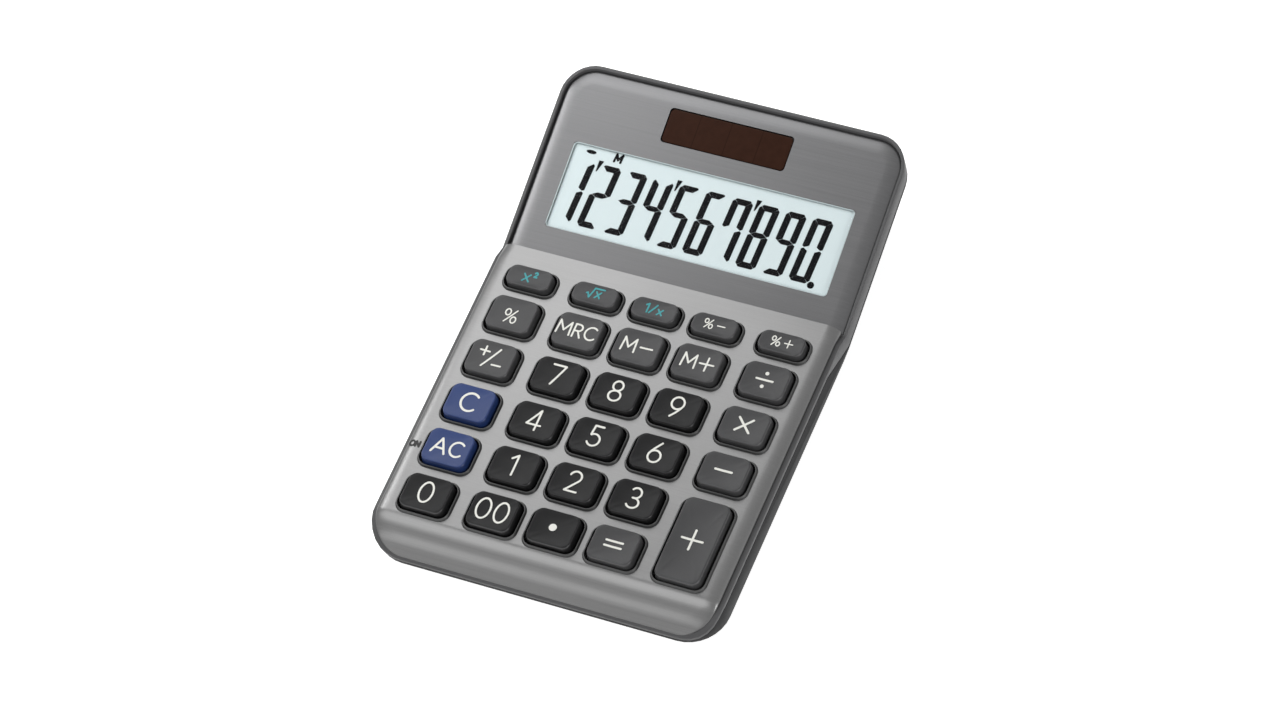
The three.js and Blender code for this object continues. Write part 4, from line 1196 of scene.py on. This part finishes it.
# Legend of each key: its line width, then (text, height, x, y) entries, all in millimetres.
LEGENDS = {
    "key_cost": (0.46, [("x", 4.2, -0.7, 0.3), ("2", 1.9, 1.7, 1.0)]),
    "key_sell": (0.46, [("q", 3.2, 0, 0)]),
    "key_margin": (0.46, [("1/x", 3.2, 0, 0)]),
    "key_tax_minus": (0.34, [("%", 3.1, -1.6, 0), ("-", 3.1, 2.1, 0)]),
    "key_tax_plus": (0.34, [("%", 3.1, -1.6, 0), ("+", 2.7, 2.1, 0)]),
    "key_percent": (0.4, [("%", 4.5, 0, -0.8)]),
    "key_1": (0.56, [("1", 6.7, -0.4, 0)]),
    "key_memory_recall": (0.5, [("MRC", 4.5, 0, 0)]),
    "key_memory_minus": (0.52, [("M", 4.6, -2.3, 0), ("-", 4.9, 2.8, 0)]),
    "key_memory_plus": (0.52, [("M", 4.6, -2.3, 0), ("+", 4.6, 2.8, 0)]),
    "key_sign": (0.52, [("+", 3.2, -2.3, 1.7), ("/", 6.6, 0.1, 0), ("-", 3.8, 2.4, -2)]),
    "key_clear": (0.64, [("C", 6.2, 0, 0)]),
    "key_all_clear": (0.6, [("AC", 5.1, 0.25, -0.15)]),
    "key_divide": (0.6, [(":", 5.3, 0, 0)]),
    "key_multiply": (0.64, [("*", 4.7, 0, 0)]),
    "key_minus": (0.64, [("-", 6.6, 0, 0)]),
    "key_equals": (0.6, [("=", 5.4, 0, 0)]),
    "key_plus": (0.64, [("+", 6.6, 0, 0)]),
}


def legend_shapes(name):
    if name == "key_decimal":
        return [oval(0, 0, 1.1, 1.1)]
    legend = sizes("legends")
    digits = name.removeprefix("key_")
    width, words = LEGENDS.get(name) or (legend.stroke / MM, [(digits, legend.digit_height / MM, 0, 0)])
    dots = [oval(0, y, 0.55, 0.55) for y in (-2.05, 2.05)] if name == "key_divide" else []
    return lettering(words, width) + dots


def key_legend(name, long):
    """The print on a key, laid on the hollow of its top."""
    key, legend = sizes("keys"), sizes("legends")
    inset = key.clearance + key.crown
    half = (key.socket_width / 2 - inset - key.side_taper, long / 2 - inset)

    def top(x, y):
        across, along = (min(abs(at) / size, 1) for at, size in zip((x, y), half))
        return key.rise - key.dish * (1 - across ** 2) * (1 - along ** 4)

    teal = name in ("key_cost", "key_sell", "key_margin")
    aside, lift = legend.aside / MM, legend.lift / MM
    shapes = [[(x + aside, y + lift) for x, y in shape] for shape in legend_shapes(name)]
    return printed(shapes, top, legend.ink, "teal_ink" if teal else "white_ink")


# ---- operators ----------------------------------------------------------------------

INNER_FINISHES = {
    "lcd_cell": "crystal",
    "lcd_reflector": "reflector",
    "lcd_frame": "holder",
    "lcd_ribbon": "ribbon",
    "solar_wire_positive": "red_lead",
    "solar_wire_negative": "black_lead",
    "keypad_mat": "silicone",
    "main_board": "board",
    "controller_chip": "resin",
    "battery_cell": "bright_steel",
    "battery_contact_negative": "bright_steel",
    "battery_contact_positive": "bright_steel",
}


class CALCULATOR_OT_finishes(bpy.types.Operator):
    """Make the finishes and give the inner CAD pieces theirs"""
    bl_idname = "calculator.finishes"
    bl_label = "Finishes"

    def execute(self, context):
        paint_box()
        for name, finish in INNER_FINISHES.items():
            for slot in frame["nodes"][name].material_slots:
                slot.material = FINISHES[finish]
        return {"FINISHED"}


class CALCULATOR_OT_keyboard_plate(bpy.types.Operator):
    """Build the keyboard plate and the raised lips of its sockets"""
    bl_idname = "calculator.keyboard_plate"
    bl_label = "Keyboard Plate"

    def execute(self, context):
        case, plate, key = sizes("case"), sizes("plate"), sizes("keys")
        slope_start = case.junction - plate.rear_slope
        shares = [i / 6 for i in range(1, 6)]
        stations = [slope_start - plate.level_end, slope_start]
        stations += [case.junction - plate.rear_slope * (1 - share) for share in shares]

        def section(inset):
            return outline(case.width / 2 - plate.inset - inset, case.front + plate.front_inset + inset,
                           case.junction, plate.front_radius - inset, 0, 40, stations)

        border = []
        for share in edge_shares(14, 1.6):
            def upper_side(y, fall=round_off(share)):
                return face_height(y) - fall * plate_drop(y)

            border.append((share * plate.edge_curve, upper_side))
        holes = [opening(x, y, key.socket_width, long, key.socket_radius) for _, x, y, long in key_places()]
        sheet("keyboard_plate_sheet", face_place(), section, plate_underside, border, holes,
              finish="face_metal", replaced="keyboard_plate", slot="face_metal", flat_from=plate.chin_start)

        points = [((x, y, 0), {"longer": long - key.socket_length}) for _, x, y, long in key_places()]
        lips = grown(
            collar_tree(), "lip_metal", points,
            width=key.socket_width - plate.collar_width, length=key.socket_length - plate.collar_width,
            corner_radius=key.socket_radius - plate.collar_width / 2, lip_width=plate.collar_width,
            lip_top=plate.collar_top, lip_height=plate.collar_height, sunk=plate.collar_sunk,
            softness=plate.collar_softness)
        lips.transform(face_place())
        piece("socket_collars", lips, CASE, slot="face_metal")
        return {"FINISHED"}


def panel_opening(kind):
    """Start, width, length and corner radius of the opening for the window or the solar cell."""
    return [getattr(sizes("display"), f"{kind}_{part}") for part in ("start", "width", "length", "radius")]


class CALCULATOR_OT_display_panel(bpy.types.Operator):
    """Build the display panel with its convex border"""
    bl_idname = "calculator.display_panel"
    bl_label = "Display Panel"

    def execute(self, context):
        case, panel = sizes("case"), sizes("panel")
        front = case.clearance / math.cos(case.display_tilt)

        def section(inset):
            edge = panel.margin + inset
            return outline(case.width / 2 - edge, front, case.panel_length - edge,
                           0, case.rear_radius - edge, 24)

        border = []
        for share in edge_shares(18, 1.4):
            shape = panel.bevel_round * (1 - share) ** 2 + panel.bevel_lip * (1 - share) ** 10
            fall = panel.bevel_drop * shape
            border.append((share * panel.bevel, lambda y, fall=fall: -fall))
        holes = [opening(0, start + deep / 2, width, deep, radius)
                 for start, width, deep, radius in map(panel_opening, ("window", "solar"))]
        sheet("display_panel_sheet", display_place(), section, lambda y: -panel.thickness, border, holes,
              finish="panel_metal", replaced="display_panel", slot="display_metal")
        return {"FINISHED"}


class CALCULATOR_OT_case(bpy.types.Operator):
    """Round the edges of the case halves and the battery door"""
    bl_idname = "calculator.case"
    bl_label = "Case"

    def execute(self, context):
        case = sizes("case")
        eased_copy("upper_case", "upper_case_shell", case.rim_rounding, "rim_plastic", "rim_plastic",
                   case.corner_swell)
        eased_copy("lower_case", "lower_case_shell", case.base_rounding, "base_plastic", "case_plastic")
        eased_copy("battery_door", "battery_door_lid", case.door_rounding, "base_plastic", "case_plastic")
        return {"FINISHED"}


class CALCULATOR_OT_keys(bpy.types.Operator):
    """Build the key caps with their printed legends"""
    bl_idname = "calculator.keys"
    bl_label = "Keys"

    def execute(self, context):
        forward = sizes("keys").forward
        for name, x, y, long in key_places():
            mesh = joined([key_cap(name, long), key_legend(name, long)], name + "_cap")
            mesh.transform(face_place() @ Matrix.Translation((x, y + forward, 0)))
            piece(name + "_cap", mesh, name, replaced=[name], slot="key_" + key_colour(name))
        return {"FINISHED"}


# Bars lit in each digit: top, upper right, lower right, bottom, lower left, upper left, middle.
LIT = {
    "0": "abcdef", "1": "bc", "2": "abged", "3": "abgcd", "4": "fgbc",
    "5": "afgcd", "6": "afgedc", "7": "abcf", "8": "abcdefg", "9": "abcdfg",
}
# How far the corners of a bar lie from its end, and its tip from its middle line, in millimetres.
LEVEL_END = {"inner_cut": 1.92, "tip_cut": 0.56, "tip_side": 0.42, "outer_cut": 1.0}
UPRIGHT_END = {"inner_cut": 1.72, "tip_cut": 0.51, "tip_side": 0.45, "outer_cut": 1.0}
POINTED_END = {"inner_cut": 0.78, "tip_cut": 0.09, "tip_side": 0.33, "outer_cut": 0.45}


def bar_ends(near, far):
    """Both ends of a bar, in metres."""
    ends = {**near, **{"far_" + name: cut for name, cut in far.items()}}
    return {name: cut * MM for name, cut in ends.items()}


class CALCULATOR_OT_display(bpy.types.Operator):
    """Build the window, the solar cell and the digits of the display"""
    bl_idname = "calculator.display"
    bl_label = "Display"

    def execute(self, context):
        self.glass()
        self.border()
        self.digits()
        return {"FINISHED"}

    def glass(self):
        show = sizes("display")
        gap, top = 2 * sizes("case").clearance, -show.glass_depth
        for name, node, finish, kind in (
            ("display_cover", "display_window", "clear_cover", "window"),
            ("solar_cover", "solar_cell", "solar_glass", "solar"),
        ):
            start, width, deep, radius = panel_opening(kind)
            thick = getattr(show, kind + "_thickness")
            mesh = block(finish, width=width - gap, length=deep - gap, corner_radius=radius,
                         base=top - thick, shoulder=top - show.glass_edge, top=top,
                         crown=show.glass_edge, spacing=0.8 * MM)
            mesh.transform(display_place() @ Matrix.Translation((0, start + deep / 2, 0)))
            piece(name, mesh, CASE, replaced=[node], slot=kind)

    def border(self):
        """The light edge that shows between the panel and the window."""
        show = sizes("display")
        start, width, deep, radius = panel_opening("window")
        wide = show.border_width
        flat = wide - 0.01 * MM
        ring = grown(
            collar_tree(), "window_edge", [((0, start + deep / 2, 0), {"longer": 0.0})],
            width=width - 2 * wide, length=deep - 2 * wide, corner_radius=radius, lip_width=flat,
            lip_top=flat, lip_height=-show.border_drop, sunk=show.border_depth, softness=0.03 * MM)
        ring.transform(display_place())
        piece("window_border", ring, CASE, slot="window")

    def digits(self):
        show = sizes("display")
        aside = (show.digit_width - show.upright) / 2
        level, middle, upper, lower = [], [], [], []
        low, mid, top = show.digit_foot - show.digit_middle, 0, show.digit_top - show.digit_middle
        for place, digit in enumerate("1234567890"):
            x = show.last_digit - (9 - place) * show.digit_pitch
            spots = {
                "a": (level, x, top - show.level_bar / 2, 0, 1),
                "d": (level, x, low + show.level_bar / 2, math.pi, 1),
                "g": (middle, x, mid, 0, 1),
                "b": (upper, x + aside, (mid + top) / 2, -math.pi / 2, 1),
                "f": (upper, x - aside, (mid + top) / 2, -math.pi / 2, -1),
                "e": (lower, x - aside, (mid + low) / 2, math.pi / 2, 1),
                "c": (lower, x + aside, (mid + low) / 2, math.pi / 2, -1),
            }
            for bar in LIT[digit]:
                group, px, py, turned, flip = spots[bar]
                group.append(((px, py, 0), {"turn": turned, "flip": flip}))
        cut = show.middle_bar * show.middle_point / MM
        middle_end = {"inner_cut": cut, "outer_cut": cut}
        flats = []
        for points, long, wide, near, far in (
            (level, show.digit_width, show.level_bar, LEVEL_END, LEVEL_END),
            (middle, show.digit_width - show.middle_gap, show.middle_bar, middle_end, middle_end),
            (upper, show.digit_top - show.digit_middle, show.upright, UPRIGHT_END, POINTED_END),
            (lower, show.digit_middle - show.digit_foot, show.upright, UPRIGHT_END, POINTED_END),
        ):
            flats.append(grown(bar_tree(), "display_digits", points, bar_length=long, bar_width=wide,
                               slant=show.slant, **bar_ends(near, far)))
        whole = joined(flats, "display_digits")
        layer = bmesh.new()
        layer.from_mesh(whole)
        thicken(layer, show.print_thickness)
        layer.to_mesh(whole)
        layer.free()
        whole.transform(Matrix.Translation((0, show.digit_middle, 0)))
        whole = joined([whole, self.marks()], "display_digits")
        whole.transform(display_place() @ Matrix.Translation((0, 0, -show.print_depth)))
        piece("display_digits", whole, CASE, slot="crystal")

    def marks(self):
        """Decimal point, separators, minus sign and memory sign, in millimetres."""
        show = sizes("display")
        last, pitch = show.last_digit / MM, show.digit_pitch / MM
        foot, top = show.digit_foot / MM, show.digit_top / MM
        point = oval(last + 3.07, foot - 0.06, 1, 1)
        minus = oval(-36.75, top + 2.71, 1.5, 0.56)
        separators = []
        for digit in (0, 3, 6):
            x = last - (9 - digit) * pitch
            separators.append([(x + 4.3, top + 0.9), (x + 4.28, top - 2.4), (x + 4.6, top - 2.4),
                               (x + 5.75, top + 0.9)])
        memory = lettering([("W", 2.9, -28.43, top + 2.73)], 0.68)
        shapes = [point, minus, *separators, *memory]
        return printed(shapes, lambda x, y: 0, show.print_thickness, "display_digits")


class CALCULATOR_OT_labels(bpy.types.Operator):
    """Print the plain label on the keyboard plate"""
    bl_idname = "calculator.labels"
    bl_label = "Labels"

    def execute(self, context):
        plate = sizes("plate")
        edge = sizes("case").width / 2 - plate.inset

        def on_plate(x, y):
            share = clamped((edge - abs(x)) / plate.edge_curve)
            return face_height(y) - round_off(share) * plate_drop(y)

        mesh = printed(lettering([("ON", 2.2, -48.1, 20.6)], 0.62), on_plate, 0.03 * MM, "black_ink")
        mesh.transform(face_place())
        piece("power_label", mesh, CASE)
        return {"FINISHED"}


# Head height, shank radius, slot width and slot depth of the screws.
CASE_SCREW = (1.2 * MM, 1.2 * MM, 0.8 * MM, 0.6 * MM)
DOOR_SCREW = (0.4 * MM, 0.9 * MM, 0.6 * MM, 0.25 * MM)


class CALCULATOR_OT_underside(bpy.types.Operator):
    """Build the feet and the screws"""
    bl_idname = "calculator.underside"
    bl_label = "Underside"

    def execute(self, context):
        corners = ("front_left", "front_right", "rear_left", "rear_right")
        self.feet(["foot_" + corner for corner in corners])
        onto_ground = face_place()
        to_face = onto_ground.inverted()
        for name in ("case_screw_" + corner for corner in corners):
            spots = [to_face @ vertex.co for vertex in frame["nodes"][name].data.vertices]
            low, high = (Vector(find(axis) for axis in zip(*spots)) for find in (min, max))
            self.screw(name, low, high, onto_ground, *CASE_SCREW)
        self.screw("battery_door_screw", *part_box("battery_door_screw"), Matrix(), *DOOR_SCREW)
        return {"FINISHED"}

    def feet(self, names):
        pads = []
        for low, high in map(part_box, names):
            wide, deep, tall = high - low
            pad = block("rubber", width=wide, length=deep, corner_radius=wide / 2, base=0.0,
                        shoulder=tall - 0.3 * MM, top=tall, crown=0.35 * MM, dish=0.1 * MM)
            middle = Matrix.Translation(((low.x + high.x) / 2, (low.y + high.y) / 2, high.z))
            pad.transform(middle @ Matrix.Rotation(math.pi, 4, "X"))
            pads.append(pad)
        piece("rubber_feet", joined(pads, "rubber_feet"), CASE, replaced=names, slot="foot_rubber")

    def screw(self, name, low, high, place, head, shank, slot_width, slot_depth):
        """A turned screw between the corners of a CAD screw's box, head down."""
        foot = ((low.x + high.x) / 2, (low.y + high.y) / 2, low.z)
        mesh = grown(
            screw_tree(), "screw_steel", [(foot, {})], head_radius=(high.x - low.x) / 2, head_height=head,
            shank_radius=shank, shank_length=high.z - low.z - head, slot_width=slot_width,
            slot_depth=slot_depth)
        mesh.transform(place)
        piece(name + "_turned", mesh, CASE, replaced=[name], slot="screw_steel")


# Place and diameter of each lamp in metres. The stage settings hold its power.
LAMPS = {
    "key": ((-0.2, 0.06, 0.3), 0.2),
    "rear": ((-0.14, 0.18, 0.3), 0.2),
    "left": ((-0.36, 0.08, 0.3), 0.12),
    "right": ((0.53, -0.193, 0.225), 0.3),
    "front": ((-0.221, -0.316, 0.48), 0.5),
}


class CALCULATOR_OT_stage(bpy.types.Operator):
    """Set up the floor, the lamps, the surround and the camera"""
    bl_idname = "calculator.stage"
    bl_label = "Stage"

    def execute(self, context):
        self.camera()
        self.surround()
        self.floor()
        for name, (place, size) in LAMPS.items():
            self.lamp(name + "_lamp", Vector(place), size, getattr(sizes("stage"), name + "_light"))
        context.scene.view_settings.view_transform = "Standard"
        return {"FINISHED"}

    def camera(self):
        stage = sizes("stage")
        back = Vector((math.sin(stage.azimuth) * math.cos(stage.elevation),
                       -math.cos(stage.azimuth) * math.cos(stage.elevation), math.sin(stage.elevation)))
        level = (-back).cross(Vector((0, 0, 1))).normalized()
        above = level.cross(-back)
        right = math.cos(stage.roll) * level + math.sin(stage.roll) * above
        turned = Matrix((right, back.cross(right), back)).transposed()
        data = bpy.data.cameras.new("camera")
        data.sensor_width = 36
        data.lens = stage.lens
        data.clip_start, data.clip_end = 0.05, 20
        camera = placed("camera", data)
        place = Vector(stage.aim) + back * stage.distance
        camera.matrix_world = Matrix.Translation(place) @ turned.to_4x4()
        bpy.context.scene.camera = camera

    def seen(self, nodes):
        """1 for what the camera, a reflection or a view through glass shows."""
        path = nodes.add("ShaderNodeLightPath").outputs
        camera, glossy, through = (Field(path[f"Is {kind} Ray"])
                                   for kind in ("Camera", "Glossy", "Transmission"))
        return reckon("MAXIMUM", reckon("MAXIMUM", camera, glossy), through)

    def surround(self):
        """A white world that lights the pieces only at the ambient level."""
        world = bpy.data.worlds.new("surround")
        world.use_nodes = True
        world.node_tree.nodes.clear()
        nodes = Nodes(world.node_tree)
        level = sizes("stage").ambient
        strength = self.seen(nodes) * (1 - level) + level
        light = nodes.add("ShaderNodeBackground", {"Color": (1, 1, 1, 1), "Strength": strength})
        nodes.add("ShaderNodeOutputWorld", {"Surface": light})
        bpy.context.scene.world = world

    def floor(self):
        """A matt grey floor that looks nearly white."""
        mesh = bpy.data.meshes.new("floor")
        far = 6
        mesh.from_pydata([(-far, -far, 0), (far, -far, 0), (far, far, 0), (-far, far, 0)], [], [range(4)])
        nodes = material_nodes("floor")
        nodes.surface({
            "Base Color": (0.7, 0.7, 0.7, 1),
            "Roughness": 1.0,
            "Specular IOR Level": 0.0,
            "Emission Color": (1, 1, 1, 1),
            "Emission Strength": self.seen(nodes) * sizes("stage").floor_glow,
        })
        mesh.materials.append(FINISHES["floor"])
        placed("floor", mesh)

    def lamp(self, name, place, size, power):
        """A round lamp that points at the origin."""
        data = bpy.data.lights.new(name, "AREA")
        data.shape = "DISK"
        data.size = size
        data.energy = power
        turned = place.to_track_quat("Z", "Y").to_matrix().to_4x4()
        placed(name, data).matrix_world = Matrix.Translation(place) @ turned


OPERATORS = (
    CALCULATOR_OT_finishes,
    CALCULATOR_OT_keyboard_plate,
    CALCULATOR_OT_display_panel,
    CALCULATOR_OT_case,
    CALCULATOR_OT_keys,
    CALCULATOR_OT_display,
    CALCULATOR_OT_labels,
    CALCULATOR_OT_underside,
    CALCULATOR_OT_stage,
)


class CALCULATOR_PT_pieces(bpy.types.Panel):
    """The pieces of the calculator"""
    bl_label = "Desk Calculator"
    bl_idname = "CALCULATOR_PT_pieces"
    bl_space_type = "VIEW_3D"
    bl_region_type = "UI"
    bl_category = "Calculator"

    def draw(self, context):
        for operator in OPERATORS:
            self.layout.operator(operator.bl_idname)
        for name in GROUPS:
            group = getattr(context.scene, name)
            box = self.layout.box()
            for key in group.__annotations__:
                box.prop(group, key)


CLASSES = (*GROUPS.values(), *OPERATORS, CALCULATOR_PT_pieces)


def register():
    for cls in CLASSES:
        bpy.utils.register_class(cls)
    for name, group in GROUPS.items():
        setattr(bpy.types.Scene, name, PointerProperty(type=group))


def unregister():
    for name in GROUPS:
        delattr(bpy.types.Scene, name)
    for cls in reversed(CLASSES):
        bpy.utils.unregister_class(cls)


def main():
    register()
    for operator in OPERATORS:
        category, name = operator.bl_idname.split(".")
        getattr(getattr(bpy.ops, category), name)()


if __name__ == "__main__":
    main()
